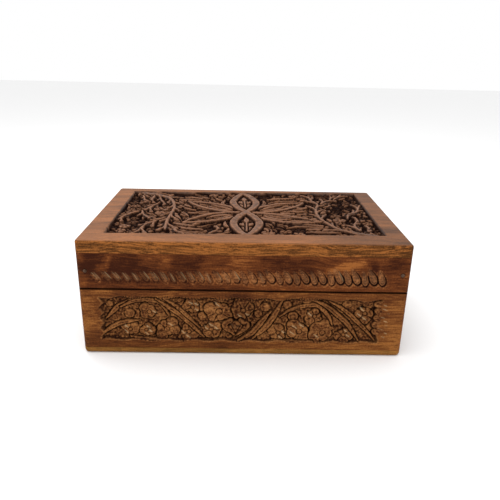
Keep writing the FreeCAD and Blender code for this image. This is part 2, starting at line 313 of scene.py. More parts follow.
def wood(name, dark, middle, light, along="X", patches=(), shift=0.0, veil=0.0, waxed_top=None):
    """Oiled hardwood. Carved boards carry as attributes their depth, their stain and painted shade,
    their ridges, which get a painted highlight, and their pale cuts, which are bare wood and partly
    a painted highlight.

    shift makes it lighter. veil darkens the carving towards the ground colour, more where it is
    deeper, as stain and painted shade, and sets the haze of wax on the carving.
    waxed_top is the height of a waxed upper side, where there is one.
    """
    paint = Paint(name)
    place = paint.place()
    depth = paint.attribute("depth")
    stain = paint.attribute("stain")
    ground = tuple(colours().ground)
    polish, flecks, streaks = 0.04, 0.7, 1.4
    if waxed_top is not None:
        height = paint.node("ShaderNodeSeparateXYZ", {}, {"Vector": place}, "Z")
        # 1 on the upper side and on its carving, and 0 on the board's edges.
        upper = height.between(waxed_top - WAX_FROM, waxed_top - WAX_FULL) + depth.between(0.0, 0.02)
        upper = upper.clamped()
        polish, flecks, streaks = upper.spread(0.04, 0.27), upper.spread(1.5, 0.6), upper.spread(4.2, 1.4)
        shift = shift + upper.spread(-0.1, 0.0)
    fine, slow, pores = grain(paint, place, along)
    specks = paint.noise(place, scale=1.0, detail=4.0, roughness=0.6) - 0.5
    clouds = paint.noise(place, scale=0.2, detail=4.0) - 0.5
    tone = slow + (fine - 0.5) * streaks + specks * flecks + shift
    tone = figure(paint, place, tone, patches)
    sunk = depth.between(0.0, 0.06)
    tone = tone + (clouds * 1.5 + specks * 1.2) * sunk
    stops = ((0.02, [c * 0.8 for c in dark]), (0.48, middle), (0.86, light))
    colour = paint.node("ShaderNodeValToRGB", {"stops": stops}, {"Fac": tone})
    colour = paint.mix(pores * 0.5, colour, [c * 0.4 for c in dark])
    # Darker carving, more so where deeper: stain, and painted shade in its hollows.
    colour = paint.mix(sunk * veil + depth.between(0.2, 0.7) * veil * 0.5, colour, ground)
    # Stain and painted shade in the hollows and beside the raised forms.
    colour = paint.mix(stain, colour, ground)
    # Painted highlight on the ridges of the relief.
    colour = paint.mix(paint.attribute("ridge") * (1 - stain) * 0.4, colour, [c * 1.2 for c in light])
    # Pale cuts: bare wood, and partly a painted highlight on their facets.
    colour = paint.mix(paint.attribute("fresh") * 0.8, colour, tuple(colours().fresh_cut_and_glint))
    if waxed_top is not None:
        colour = paint.mix(1 - upper, colour, EDGE_WARMTH, "MULTIPLY")
    # Painted sheen that makes the carving greyer and bluer.
    colour = paint.mix(sunk, colour, CARVING_SHEEN_TINT, "MULTIPLY")
    rough = 0.55 + fine * 0.12 + depth * 0.25
    normal = paint.bump(fine * 0.5 - pores * 0.8, strength=0.35, distance=0.12 * MM)
    clean = (1 - depth.between(0.25, 0.8)) * (1 - stain)
    wax = clean * (sunk * (veil * 0.84 - polish) + polish)
    return paint.finish(
        Base_Color=colour, Roughness=rough, Normal=normal, Specular_IOR_Level=0.03,
        Coat_Weight=wax, Coat_Roughness=0.36,
    )


def wall_wood(name, along="X", patches=(), shift=0.0, redder=0.0):
    """Red-brown hardwood of the walls. redder is the share of green and blue that it loses."""
    tints = (getattr(colours(), tint) for tint in ("wood_dark", "wood_middle", "wood_light"))
    tints = ((red, green * (1 - redder), blue * (1 - redder)) for red, green, blue in tints)
    return wood(name, *tints, along, patches, shift=shift)


def top_wood():
    """Paler plank with a waxed upper side and a hazy carving."""
    middle = Vector(colours().top_wood)
    tints = (middle * 0.4, middle * 0.85, middle * 1.4)
    top = box_mm("lid_top_board")[1][2]
    return wood("carved_top_wood", *tints, patches=TOP_PATCHES_WITH_SHADE, veil=0.46, waxed_top=top)


def bottom_wood():
    """Light golden board."""
    middle = Vector(colours().bottom_wood)
    return wood("bottom_board_wood", middle * 0.4, middle * 0.8, middle * 1.3)


def velvet():
    """Short pile that catches light at its edges, brushed unevenly."""
    paint = Paint("red_velvet")
    place = paint.place()
    brushed = paint.noise(paint.vector("MULTIPLY", place, (1.0, 0.45, 1.0)), scale=0.045, detail=2.0)
    pile = paint.noise(place, scale=2.4, detail=3.0, roughness=0.7)
    colour = Vector(colours().velvet)
    shade = paint.mix(brushed.between(0.3, 0.7), colour * 0.75, colour * 1.15)
    shade = paint.mix(pile.between(0.35, 0.65) * 0.6, shade, colour * 0.35)
    normal = paint.bump(pile, strength=1.0, distance=0.3 * MM)
    return paint.finish(
        Base_Color=shade, Roughness=0.95, Normal=normal, Specular_IOR_Level=0.1,
        Sheen_Weight=0.5, Sheen_Roughness=0.35, Sheen_Tint=(0.95, 0.20, 0.25),
    )


def metal(name, colour, tarnish, roughness):
    """Worn metal with brushed marks and dull patches."""
    paint = Paint(name)
    place = paint.place()
    cloud = paint.noise(place, scale=0.35, detail=4.0, roughness=0.6).between(0.42, 0.68)
    drawn_out = paint.vector("MULTIPLY", place, (0.25, 1.0, 1.0))
    marks = paint.noise(drawn_out, scale=9.0, detail=3.0, roughness=0.6)
    shade = paint.mix(cloud * 0.6, colour, tarnish)
    rough = roughness + cloud * 0.22 + marks * 0.1
    normal = paint.bump(marks, strength=0.25, distance=0.04 * MM)
    return paint.finish(Base_Color=shade, Metallic=1.0, Roughness=rough, Normal=normal)


def brass():
    """Aged brass of the hinges."""
    return metal("aged_brass", tuple(colours().brass), tarnish=(0.20, 0.11, 0.04), roughness=0.24)


def steel():
    """Dull wire."""
    return metal("dull_steel", tuple(colours().steel), tarnish=(0.09, 0.06, 0.045), roughness=0.3)


def stained_nails():
    """Nail heads that took some of the wood's stain."""
    red, green, blue = colours().steel
    stained = (red * 0.7, green * 0.5, blue * 0.4)
    return metal("stained_nails", stained, tarnish=(0.05, 0.022, 0.012), roughness=0.5)


# Carving, in millimetres

FAR = 99.0  # stands for a form that is nowhere near
AROUND = 4.5  # how far round a form its grooves are worked out
SHALLOW = -0.2  # ground above this is the board's own face


def smooth_step(share):
    """Soft change from 0 to 1."""
    share = np.clip(share, 0.0, 1.0)
    return share * share * (3 - 2 * share)


def turned(heading, length):
    """Step of a length along a heading."""
    return np.array([math.cos(heading), math.sin(heading)]) * length


def smooth_line(points, steps=8):
    """Close points along a smooth curve through the given ones."""
    points = np.asarray(points, float)
    if len(points) == 2:
        return points
    ends = np.vstack([2 * points[0] - points[1], points, 2 * points[-1] - points[-2]])
    line = []
    for a, b, c, d in zip(ends, ends[1:], ends[2:], ends[3:]):
        for t in np.arange(steps) / steps:
            bend = (2 * a - 5 * b + 4 * c - d) * t**2 + (3 * b - a - 3 * c + d) * t**3
            line.append(0.5 * (2 * b + (c - a) * t + bend))
    line.append(points[-1])
    return np.array(line)


def stations(points, pitch):
    """Places at a pitch along a smooth line, each with its heading."""
    line = smooth_line(points)
    steps = np.diff(line, axis=0)
    run = np.r_[0, np.cumsum(np.hypot(*steps.T))]
    for at in np.arange(pitch * 0.6, run[-1] - pitch * 0.2, pitch):
        i = min(np.searchsorted(run, at) - 1, len(steps) - 1)
        share = (at - run[i]) / (run[i + 1] - run[i])
        yield line[i] + steps[i] * share, math.atan2(steps[i][1], steps[i][0])


def inside_outline(x, y, corners):
    """Distance inside a convex outline given anticlockwise. It is negative outside."""
    inside = np.full(x.shape, FAR)
    for (ax, ay), (bx, by) in zip(corners, corners[1:] + corners[:1]):
        length = math.hypot(bx - ax, by - ay)
        inside = np.minimum(inside, ((bx - ax) * (y - ay) - (by - ay) * (x - ax)) / length)
    return inside


def speckle(shape, seed, blur):
    """Even noise from 0 to 1, softened over a few grid steps."""
    field = np.random.default_rng(seed).random(shape)
    for _ in range(blur):
        field = (field + np.roll(field, 1, 0) + np.roll(field, -1, 0)) / 3
        field = (field + np.roll(field, 1, 1) + np.roll(field, -1, 1)) / 3
    low, high = np.percentile(field, (2, 98))
    return np.clip((field - low) / (high - low), 0, 1)


class Carving:
    """Heights of a carved face over a grid. 0 is the board's face, and less is cut away.

    Forms are drawn one by one and laid in together, so that those of one plant join.
    """

    def __init__(self, across, up, ground):
        self.across = across
        self.up = up
        self.x, self.y = np.meshgrid(across, up)
        self.ground = ground
        self.height = ground.copy()
        self.fresh = np.zeros(ground.shape)
        self.free = np.full(ground.shape, FAR)
        self.bite = np.ones(ground.shape)
        self.start()

    def start(self):
        """Begins a new set of forms."""
        self.form = np.full(self.ground.shape, -FAR)
        self.outside = np.full(self.ground.shape, FAR)
        self.low = np.full(2, math.inf)
        self.high = -self.low

    def window(self, low, high):
        """Rows and columns of the grid that cover a rectangle."""
        columns = slice(*np.searchsorted(self.across, (low[0], high[0])))
        rows = slice(*np.searchsorted(self.up, (low[1], high[1])))
        return rows, columns

    def draw(self, window, outside, half, top, crown, edge, groove=0.0):
        """Adds one form to the set. outside is the distance beyond its outline."""
        ground = self.ground[window]
        inside = np.clip(-outside / np.maximum(half, 1e-6), 0, 1)
        crest = top - crown * (1 - inside) ** 1.5 - groove
        rise = smooth_step(-outside / edge + 0.15)
        form = np.where(outside <= 0, ground + (crest - ground) * rise, -FAR)
        self.form[window] = np.maximum(self.form[window], form)
        self.outside[window] = np.minimum(self.outside[window], outside)

    def stroke(self, points, widths, top, crown=0.45, edge=0.45, vein=0.0):
        """Raised form along a curve. widths are half-widths at even steps along it."""
        line = smooth_line(points)
        run = np.r_[0, np.cumsum(np.hypot(*np.diff(line, axis=0).T))]
        run = run / run[-1]
        half = np.interp(run, np.linspace(0, 1, len(widths)), widths)
        reach = half.max() + AROUND
        low, high = line.min(0) - reach, line.max(0) + reach
        window = self.window(low, high)
        x, y = self.x[window], self.y[window]
        if x.size == 0:
            return
        self.low, self.high = np.minimum(self.low, low), np.maximum(self.high, high)
        outside = np.full(x.shape, FAR)
        wide_there = np.ones(x.shape)
        off = np.full(x.shape, FAR)
        along = np.zeros(x.shape)
        for i in range(len(line) - 1):
            (ax, ay), (dx, dy) = line[i], line[i + 1] - line[i]
            t = np.clip(((x - ax) * dx + (y - ay) * dy) / (dx * dx + dy * dy + 1e-12), 0, 1)
            distance = np.hypot(x - ax - t * dx, y - ay - t * dy)
            wide = half[i] + (half[i + 1] - half[i]) * t
            nearer = distance - wide < outside
            outside = np.where(nearer, distance - wide, outside)
            wide_there = np.where(nearer, wide, wide_there)
            off = np.where(nearer, distance, off)
            along = np.where(nearer, run[i] + (run[i + 1] - run[i]) * t, along)
        groove = vein * np.exp(-((off / 0.4) ** 2)) * np.sin(np.pi * np.clip(along * 1.1, 0, 1))
        self.draw(window, outside, wide_there, top, crown, edge, groove)

    def dome(self, centre, radius, top, crown=0.5, edge=0.4):
        """Round button."""
        low, high = np.subtract(centre, radius + AROUND), np.add(centre, radius + AROUND)
        window = self.window(low, high)
        x, y = self.x[window], self.y[window]
        if x.size == 0:
            return
        self.low, self.high = np.minimum(self.low, low), np.maximum(self.high, high)
        outside = np.hypot(x - centre[0], y - centre[1]) - radius
        self.draw(window, outside, radius, top, crown, edge)

    def lay(self, moat=0.6, deeper=0.0):
        """Cuts a groove round the drawn set, lays it in and begins a new one."""
        window = self.window(self.low, self.high)
        outside, form = self.outside[window], self.form[window]
        height, ground = self.height[window], self.ground[window]
        floor = np.where(ground < SHALLOW, ground - deeper * self.bite[window], ground)
        lowered = floor + (height - floor) * smooth_step(outside / moat)
        height = np.where(outside > 0, np.minimum(height, lowered), height)
        form = np.where(ground > SHALLOW, np.maximum(form, height), form)
        self.height[window] = np.where(outside <= 0, form, height)
        self.free[window] = np.minimum(self.free[window], outside)
        self.start()

    def leaf(self, base, heading, length, half, bend=0.0, top=-0.6, vein=0.25):
        """Pointed leaf that bends sideways by a share of its length."""
        base = np.asarray(base, float)
        aside = turned(heading + math.pi / 2, length * bend)
        middle = base + turned(heading, length * 0.5) + aside
        tip = base + turned(heading, length)
        widths = np.array([0.15, 0.7, 1.0, 0.9, 0.6, 0.08]) * half
        self.stroke([base, middle, tip], widths, top, edge=0.4, vein=vein)

    def cut(self, points, half, depth, fresh=0.0):
        """Straight knife cut into whatever is there. Its last argument is how pale it leaves the wood:
        bare wood, and partly a painted highlight on the cut.
        """
        line = np.asarray(points, float)
        window = self.window(line.min(0) - half * 3, line.max(0) + half * 3)
        x, y = self.x[window], self.y[window]
        (ax, ay), (dx, dy) = line[0], line[-1] - line[0]
        t = np.clip(((x - ax) * dx + (y - ay) * dy) / (dx * dx + dy * dy), 0, 1)
        off = np.hypot(x - ax - t * dx, y - ay - t * dy) / half
        bite = np.clip(1 - off**2, 0, 1) * np.sin(np.pi * (0.1 + 0.8 * t))
        self.height[window] -= depth * bite
        self.fresh[window] = np.maximum(self.fresh[window], fresh * smooth_step(bite * 1.5))

    def blossom(self, centre, radius, petals=5, turn=0.0, top=-0.6, moat=0.7, deeper=0.0, uneven=0.14):
        """Open flower: petals that meet, cut apart from the middle outwards, and a button."""
        centre = np.asarray(centre, float)
        spread = radius * math.sin(math.pi / petals) * 0.95
        headings = [turn + 2 * math.pi * i / petals for i in range(petals)]
        for heading in headings:
            grown = 1 + uneven * math.sin(3.7 * heading + radius)
            reach = (radius - spread * 0.9) * grown
            ends = [centre + turned(heading, radius * 0.2), centre + turned(heading, reach)]
            level = top - 0.2 * (grown - 0.86)
            self.stroke(ends, (spread * 0.5, spread * grown), level, crown=0.5)
        self.lay(moat, deeper)
        for heading in headings:
            between = heading + math.pi / petals + uneven * math.sin(9.1 * heading)
            depth = 0.75 - uneven + 1.6 * uneven * math.sin(5.3 * heading + radius)
            start = centre + turned(between, radius * 0.9 * uneven)
            self.cut([start, centre + turned(between, radius)], half=0.42, depth=max(depth, 0.1))
        self.dome(centre, radius * 0.24, top + 0.1, crown=0.35, edge=0.35)
        self.lay(0.5)

    def twig(self, at, heading, side, reach):
        """Thin fork that curves away from its stem and ends in a leaf."""
        middle = at + turned(heading + side * 0.30, reach * 0.5)
        tip = at + turned(heading + side * 0.48, reach)
        leaf_foot = tip - turned(heading + side * 0.6, 1.5)
        self.leaf(leaf_foot, heading + side * 0.8, reach * 0.6, half=1.8, bend=-side * 0.14, top=-0.5)
        self.stroke([at, middle, tip], (1.5, 1.15, 0.9), top=-0.25, crown=0.5, edge=0.5)

    def vine(self, points, half, pitch, reach):
        """Stem with forks and leaves in turn on its two sides."""
        for n, (at, heading) in enumerate(stations(points, pitch)):
            side = 1 if n % 2 else -1
            grow = reach * (0.9 + 0.25 * math.sin(2.4 * n))
            self.leaf(at, heading - side * 0.6, grow * 0.9, half=2.1, bend=side * 0.16, top=-0.7, vein=0.3)
            self.twig(at, heading, side, grow)
        self.stroke(points, np.multiply(half, 0.88), top=-0.12, crown=0.5, edge=0.6)
        self.lay(moat=1.7)

    def fill(self, least, inside, heading_at, top=-0.7):
        """Fills gaps of at least a half-width with small leaves and flowers, the widest gap first."""
        count = 0
        while True:
            gap = np.minimum(self.free, inside - 0.2)
            at = np.unravel_index(np.argmax(gap), gap.shape)
            room = gap[at]
            if room < least:
                return
            place = np.array([self.x[at], self.y[at]])
            count += 1
            level = top - 0.3 * (count % 4)
            heading, stretch = heading_at(place, count)
            if room > 2.6 and stretch < 3:
                self.blossom(place, min(room, 4.4), 4 + count % 2, turn=count * GOLDEN_TURN, top=level)
            else:
                size = min(room, 2.3)
                length = size * stretch + 2.0
                foot = place - turned(heading, length / 2)
                self.leaf(foot, heading, length, half=size * 0.5 + 0.3, bend=0.16, top=level)
                self.lay(moat=1.0)


# The lid's top: corners of its sunk field.
TOP_FIELD = ((-87.6, -49.4), (89.0, -46.8), (88.8, 58.0), (-88.2, 54.6))

# Stems: points along each, half-widths along it, how far apart its forks are, and how long they grow.
TOP_VINES = (
    (((-79, 56), (-72, 48), (-71, 38), (-74, 26)), (1.8, 1.3, 0.9), 6.5, 7.0),
    (((-86, 56), (-80.5, 47), (-77.5, 37), (-76.5, 31)), (1.4, 1.1, 0.8), 6.5, 5.5),
    (((-66, 42), (-63.5, 31), (-59, 21)), (1.3, 1.0, 0.7), 7.5, 5.0),
    (((-64, 26), (-69, 12), (-73, 3), (-80, -3), (-85.5, -18)), (0.9, 1.5, 0.9), 8.0, 8.5),
    (((-73, 3), (-70.5, -6), (-65, -14), (-60, -19)), (1.2, 1.0, 0.8), 7.0, 6.5),
    (((-53, -8), (-58, -17), (-65, -28), (-68, -43)), (1.5, 1.3, 0.9), 8.0, 8.5),
    (((-51, -27), (-46, -34), (-43.5, -41), (-33, -46.5)), (1.4, 1.3, 1.0), 7.5, 6.5),
    (((-23, -45), (-18.5, -38), (-17, -32)), (1.3, 1.0, 0.7), 7.0, 5.5),
    (((71.5, -8), (74, 2), (81, 9), (87, 27)), (1.1, 1.5, 0.9), 8.0, 8.5),
    (((79, -41), (74, -32), (73.5, -22), (78, -12)), (1.7, 1.3, 0.9), 8.0, 8.0),
    (((82, -43), (80, -34), (83.5, -26)), (1.2, 1.0, 0.7), 8.0, 6.0),
    (((53.5, 20), (60, 33), (70, 43.5), (78, 57)), (1.5, 1.6, 1.4), 8.0, 9.0),
    (((67, 42), (68.5, 49), (69, 56)), (1.2, 1.0, 0.8), 8.0, 5.0),
    (((52, 11), (57, 18.5), (63, 22)), (1.4, 1.1, 0.7), 8.0, 5.5),
    (((52.5, -2), (55, 5), (59, 11)), (1.3, 1.0, 0.7), 8.0, 5.0),
    (((-90, 58), (-76, 52), (-62, 43), (-55, 31), (-51.5, 12), (-52, -6), (-52.5, -20), (-51.5, -37)),
     (5.0, 3.6, 2.0, 1.7, 1.6, 1.5, 1.5, 1.2), 8.5, 10.0),
    (((92, -50.5), (77, -43), (62, -32), (55, -18), (51.4, -3), (52, 13), (55, 27), (51.5, 38), (51, 49)),
     (5.0, 3.8, 2.0, 1.7, 1.6, 1.6, 1.5, 1.4, 1.1), 8.5, 10.0),
)

# Single long leaves: three points along each.
TOP_BLADES = (
    ((-51, 41), (-42, 43), (-32, 39)), ((-51, 35.5), (-43, 37), (-33, 34.5)),
    ((-46, 27), (-38, 27), (-28, 29.5)), ((-50, 31), (-45, 22), (-39, 15.5)),
    ((-49, 21), (-43, 13), (-35, 8)), ((-49, 11), (-44, 3), (-39, -7)),
    ((-50.5, 1), (-47, -8), (-43, -17)), ((-12, 5.5), (-24, 8.5), (-35, 14)),
    ((-9, 1.5), (-21, 2.5), (-33, 0)), ((-12, -14), (-22, -17), (-31, -22), (-37, -30)),
    ((-47, -28), (-39, -33), (-27, -35.5)), ((-43, -36), (-35, -40), (-25, -40.5)),
    ((-48, -23), (-42, -26), (-33, -29)), ((-24, -46), (-17, -44), (-10, -40)),
    ((-13, -20), (-18, -26), (-20, -32)), ((-9, -31), (-13, -26), (-13.5, -18)),
    ((58, -27), (46, -22), (33, -18.5), (22, -18)), ((60, -30.5), (47, -26.5), (36, -25.5), (27, -30)),
    ((62, -34), (52, -32), (40, -32)), ((62, -38), (51, -36.5), (39, -38)),
    ((9, -1), (21, -5), (33, -8.5)), ((11, 4), (23, 2), (37, 3)), ((13, -9), (18, -14), (20, -21)),
    ((20, 34), (30, 36), (41, 38)), ((17, 39), (26, 43), (39, 45)), ((45, 12), (39, 9), (31, 10)),
    ((50, -1), (44, 3), (37, 2.5)), ((50.5, -7), (44, -7), (36, -4)),
    ((49, -12), (41, -14.5), (31, -13)), ((12, 22), (15, 30), (14, 39)), ((47, 20), (42, 17), (37, 19)),
    ((-13, 20), (-17, 28), (-15, 38)), ((-20, 20), (-25, 24), (-27, 34)),
)

# The flower of six pointed ovals about its waist: tips of the two that lie front to back, then the tips
# of the four loops, each with how far its two sides bulge.
WAIST = np.array([1.0, 4.0])
FLOWER_REACH = 44.0
OVAL_TIPS = ((1.0, -48.0), (-1.3, 56.5))
LOOPS = (
    ((44.5, 31.0), (7.3, -7.4)),
    ((-42.8, 30.5), (-6.3, 7.6)),
    ((-41.5, -22.3), (-8.0, 6.3)),
    ((52.3, -16.0), (3.8, -11.0)),
)


def carve_loop(carving, tip, bulges):
    """Long pointed loop from the waist to its tip, with two blades inside."""
    along = np.array(tip) - WAIST
    length = math.hypot(*along)
    heading = math.atan2(along[1], along[0])
    foot = WAIST + along * 0.22
    lean = sum(bulges) / 2 / (length * 0.6)
    for side in (-1, 1):
        blade = length * 0.6 * (0.85 + 0.15 * side)
        carving.leaf(foot, heading + side * 0.1, blade, half=1.9, bend=lean + side * 0.1, vein=0.3)
        carving.lay(moat=0.6)
    aside = turned(heading + math.pi / 2, 1.0)
    shares = ((0, 0), (0.22, 0.72), (0.52, 1.0), (0.8, 0.62), (1, 0))
    for bulge in bulges:
        points = [WAIST + along * share + aside * bulge * swell for share, swell in shares]
        carving.stroke(points, (1.4, 1.8, 1.7, 1.1), top=-0.25, edge=0.5)
    carving.lay(moat=1.0)


def carve_sprig(carving, tip):
    """Flower inside one of the two large ovals. Both point to the back."""
    along = np.array(tip) - WAIST
    shares = (0.24, 0.42, 0.58) if along[1] > 0 else (0.80, 0.62, 0.46)
    foot, waist, head = (WAIST + along * share for share in shares)
    heading = math.atan2(*(head - foot)[::-1])
    for side in (-1, 1):
        narrow, wide = heading + side * 0.6, heading + side * 0.8
        carving.leaf(foot, narrow, length=9.5, half=2.1, bend=-side * 0.14, top=-0.35, vein=0.3)
        carving.leaf(waist, wide, length=8.0, half=2.3, bend=-side * 0.16, top=-0.3, vein=0.3)
        carving.leaf(head, narrow, length=6.0, half=1.6, bend=-side * 0.15, top=-0.35, vein=0.2)
    carving.lay(moat=0.6)
    carving.stroke([foot, head], (1.0, 0.9), top=-0.3, crown=0.4, edge=0.4)
    carving.leaf(head, heading, length=8.5, half=2.3, top=-0.15)
    carving.lay(moat=0.6)


def carve_ovals(carving):
    """The two large ovals that cross at the waist."""
    shares = ((0, 0), (0.22, 5.6), (0.5, 8.8), (0.8, 5.2), (1, 0))
    for tip in OVAL_TIPS:
        along = np.array(tip) - WAIST
        for side in (-1, 1):
            points = [WAIST + along * share + np.array([side * swell, 0]) for share, swell in shares]
            carving.stroke(points, (2.4, 2.8, 3.0, 2.7, 2.0), top=-0.02, crown=0.35, edge=0.6)
    carving.lay(moat=1.3)


def carve_top_forms(carving):
    """Everything on the lid but the filling."""
    for n, points in enumerate(TOP_BLADES):
        top = -0.45 - 0.2 * (n % 3)
        carving.stroke(points, (0.5, 1.5, 1.7, 1.4, 0.5), top, crown=0.5, edge=0.5, vein=0.45)
        carving.lay(moat=1.2)
    for points, half, pitch, reach in TOP_VINES:
        carving.vine(points, half, pitch, reach)
    for tip, bulges in LOOPS:
        carve_loop(carving, tip, bulges)
    for tip in OVAL_TIPS:
        carve_sprig(carving, tip)
    carve_ovals(carving)


def top_flow(place, count):
    """Heading of a small leaf, and its length for its width: rays about the flower, loose further out."""
    ray = place - WAIST
    if np.hypot(*ray) < FLOWER_REACH:
        return math.atan2(ray[1] * 0.6, ray[0]) + 0.12 * math.sin(2.7 * count), 4.4
    return count * GOLDEN_TURN, 2.9


def carve_top(across, up):
    """Heights of the lid's top. The forms are laid again over what fills the gaps between them."""
    x, y = np.meshgrid(across, up)
    inside = inside_outline(x, y, TOP_FIELD)
    depth = sizes().top_depth / MM
    rough = speckle(x.shape, seed=3, blur=2) * 0.5
    ground = -(depth - rough) * smooth_step(inside / 0.45)
    carving = Carving(across, up, ground)
    carve_top_forms(carving)
    carving.fill(1.5, inside, top_flow)
    carve_top_forms(carving)
    worn = 0.15 + 0.3 * speckle(x.shape, seed=5, blur=5) + 0.25 * speckle(x.shape, seed=6, blur=1)
    carving.height -= worn * smooth_step(inside / 0.5)
    return carving


# The base's front, by places across the wall and heights above the underside of the box.
FRONT_FIELD = ((-90.0, 9.2), (85.5, 9.2), (85.5, 39.6), (-90.0, 39.6))

# Ribs and long leaves: points along each, and half-widths along it.
FRONT_BLADES = (
    (((-91, 12.2), (-84, 17.5), (-76.5, 21.5), (-65, 23.3)), (0.5, 1.5, 1.5, 0.4)),
    (((-86.5, 24), (-81, 30), (-76.5, 34), (-65, 39.5)), (0.4, 1.6, 1.3, 0.4)),
    (((-77, 32.5), (-68, 36.8), (-59, 37.6), (-51.5, 35), (-47, 27)), (0.6, 1.3, 1.5, 1.3, 0.6)),
    (((-55, 38.5), (-47, 32.5), (-38, 25.5), (-25, 11.8)), (0.6, 1.5, 1.6, 0.5)),
    (((-50, 38.8), (-42, 33.0), (-33, 24.0), (-27.5, 18.5)), (0.5, 1.2, 1.2, 0.4)),
    (((-3.5, 9.8), (4.5, 14.5), (10.5, 22.0), (17, 31)), (0.6, 1.8, 1.8, 0.5)),
    (((6.0, 11.5), (14.0, 19.5), (19.5, 28.5), (24, 39)), (0.6, 1.9, 1.8, 0.6)),
    (((22.5, 27.0), (29, 31.8), (37, 34.6), (46, 35), (53.5, 27.6), (56, 21.5)), (0.5, 1.2, 1.4, 1.4, 0.6)),
    (((42, 39.2), (50, 35.8), (58, 29.5), (66, 22), (73.5, 10.8)), (0.5, 1.5, 1.7, 1.5, 0.5)),
    (((53, 38.5), (62, 33.0), (70, 26.0), (78, 18.0), (84, 11.0)), (0.5, 1.3, 1.5, 1.2, 0.4)),
    (((-72, 12.0), (-62, 10.3), (-52, 10.0)), (0.4, 1.0, 0.4)),
    (((18, 10.5), (30, 9.8), (44, 10.2)), (0.4, 0.8, 0.4)),
)

# Flowers: middle, radius and number of petals.
FRONT_BLOSSOMS = (
    ((-59, 29.5), 5.4, 5), ((-71.5, 17.0), 5.0, 5), ((-61.5, 16.6), 4.6, 5), ((-48.5, 17.4), 6.8, 6),
    ((-34.5, 15.8), 5.8, 5), ((-32, 33.0), 5.2, 5), ((-15.5, 30.2), 8.2, 6), ((-0.5, 31.2), 7.2, 5),
    ((-20.5, 17.6), 5.4, 5), ((44.4, 28.0), 5.4, 5), ((22.0, 15.6), 5.6, 5), ((35.2, 16.8), 7.6, 6),
    ((50.2, 16.0), 7.4, 5), ((63.6, 14.8), 5.2, 5), ((76.0, 30.2), 6.0, 5),
)

# Round buds: middle and radius.
FRONT_BUDS = (
    ((-71.5, 28.0), 3.2), ((-26.0, 26.5), 3.0), ((31.0, 27.2), 3.3), ((27.0, 35.4), 2.8),
    ((64.5, 36.0), 3.0), ((13.5, 33.4), 3.2), ((9.0, 28.6), 2.5), ((-83.5, 34.5), 2.2), ((80.5, 20.0), 3.0),
)

# Rows of knife cuts along the top edge: start, end, height, pitch and lean.
FRONT_TICKS = (
    (-75.0, -40.0, 38.6, 1.7, 1.1),
    (-36.0, 12.0, 38.4, 1.9, 1.9),
    (26.0, 50.0, 38.8, 1.6, 1.4),
)


def punched_ground(x, inside, depth, seed):
    """Ground stippled with a blunt punch, which fades out at the edge of the field."""
    pits = smooth_step(speckle(x.shape, seed, 1) * 1.6 - 0.5)
    return -(depth - 0.5 * pits) * smooth_step(inside / 2.5)


def dimpled(carving, inside, seed):
    """Unevenness of worked wood over the whole field."""
    shape = carving.height.shape
    hollow = 0.45 * speckle(shape, seed, 6) + 0.8 * speckle(shape, seed + 1, 2)
    carving.height -= hollow * smooth_step(inside / 3.0)


def wall_carving(across, up, inside, seed):
    """Carving with a punched ground, and outlines cut deep in some places and shallow in others."""
    x, _ = np.meshgrid(across, up)
    carving = Carving(across, up, punched_ground(x, inside, sizes().front_depth / MM, seed))
    carving.bite = 0.1 + 1.3 * smooth_step(speckle(x.shape, seed + 5, 9) * 1.4 - 0.2)
    return carving


def carve_heart(carving, foot, size):
    """Bud that points down, with deep cuts round it."""
    foot = np.array(foot, float)

    def at(x, z):
        return foot + np.array([x * size, z * size])

    for side in (-1, 1):
        cheek = [foot, at(side * 0.62, 0.62), at(side * 0.28, 0.95)]
        carving.stroke(cheek, (0.4, 1.9, 1.6), top=-0.15, crown=0.4)
    carving.dome(at(0.0, 0.52), size * 0.38, top=-0.35)
    carving.lay(moat=1.5, deeper=1.1)
    for side in (-1, 1):
        carving.cut([at(0.0, 0.12), at(side * 0.28, 0.7)], half=0.45, depth=0.8)
        carving.cut([at(0.0, 0.5), at(side * 0.3, 0.75)], half=0.4, depth=0.5, fresh=0.1)


def carve_scallops(carving, x, low, high, count):
    """Deep scalloped edge at the end of the carving."""
    step = (high - low) / count
    for i in range(count):
        middle = low + (i + 0.5) * step
        bulge = 1.4 + 0.6 * math.sin(1.7 * i)
        lobe = [(x + 1.5, middle - step * 0.32), (x - bulge, middle), (x + 1.5, middle + step * 0.32)]
        carving.stroke(lobe, (1.6, 2.0, 1.6), top=-0.1, crown=0.3)
    carving.lay(moat=1.3, deeper=1.2)


def edge_ticks(carving, start, end, z, pitch, lean):
    """Row of short slanted knife cuts."""
    for n, x in enumerate(np.arange(start, end, pitch)):
        foot = np.array([x, z + 0.35 * math.sin(1.3 * n)])
        carving.cut([foot, foot + turned(lean + 0.2 * math.sin(2.1 * n), 2.0)], half=0.42, depth=0.7)


def flick(carving, place, length=3.0, heading=-0.65, pale=0.75):
    """Quick knife stroke that leaves a pale cut: bare wood, and partly a painted highlight on its facets.
    """
    foot = np.asarray(place, float) - turned(heading, length / 2)
    carving.cut([foot, foot + turned(heading, length)], half=0.45, depth=0.2, fresh=pale)


def carve_blossoms(carving, blossoms):
    """Flowers of the walls, each with a few pale flicks on its petals."""
    for n, (centre, radius, petals) in enumerate(blossoms):
        turn = n * GOLDEN_TURN
        carving.blossom(centre, radius, petals, turn, top=-0.15, moat=0.9, deeper=1.6, uneven=0.3)
        for i in range(1 + n % 3):
            away = turned(turn + 2 * math.pi * i / petals, radius * 0.6)
            flick(carving, np.add(centre, away), 1.6 + radius * 0.3)


def carve_buds(carving, buds):
    """Round buds of the walls."""
    for centre, radius in buds:
        carving.dome(centre, radius, top=-0.2, crown=0.6, edge=0.5)
        carving.lay(moat=1.1, deeper=0.9)


def carve_blades(carving, blades):
    """Long leaves and ribs that lie over the flowers."""
    for points, widths in blades:
        carving.stroke(points, widths, top=-0.12, edge=0.4, vein=0.5)
        carving.lay(moat=0.8, deeper=1.2)


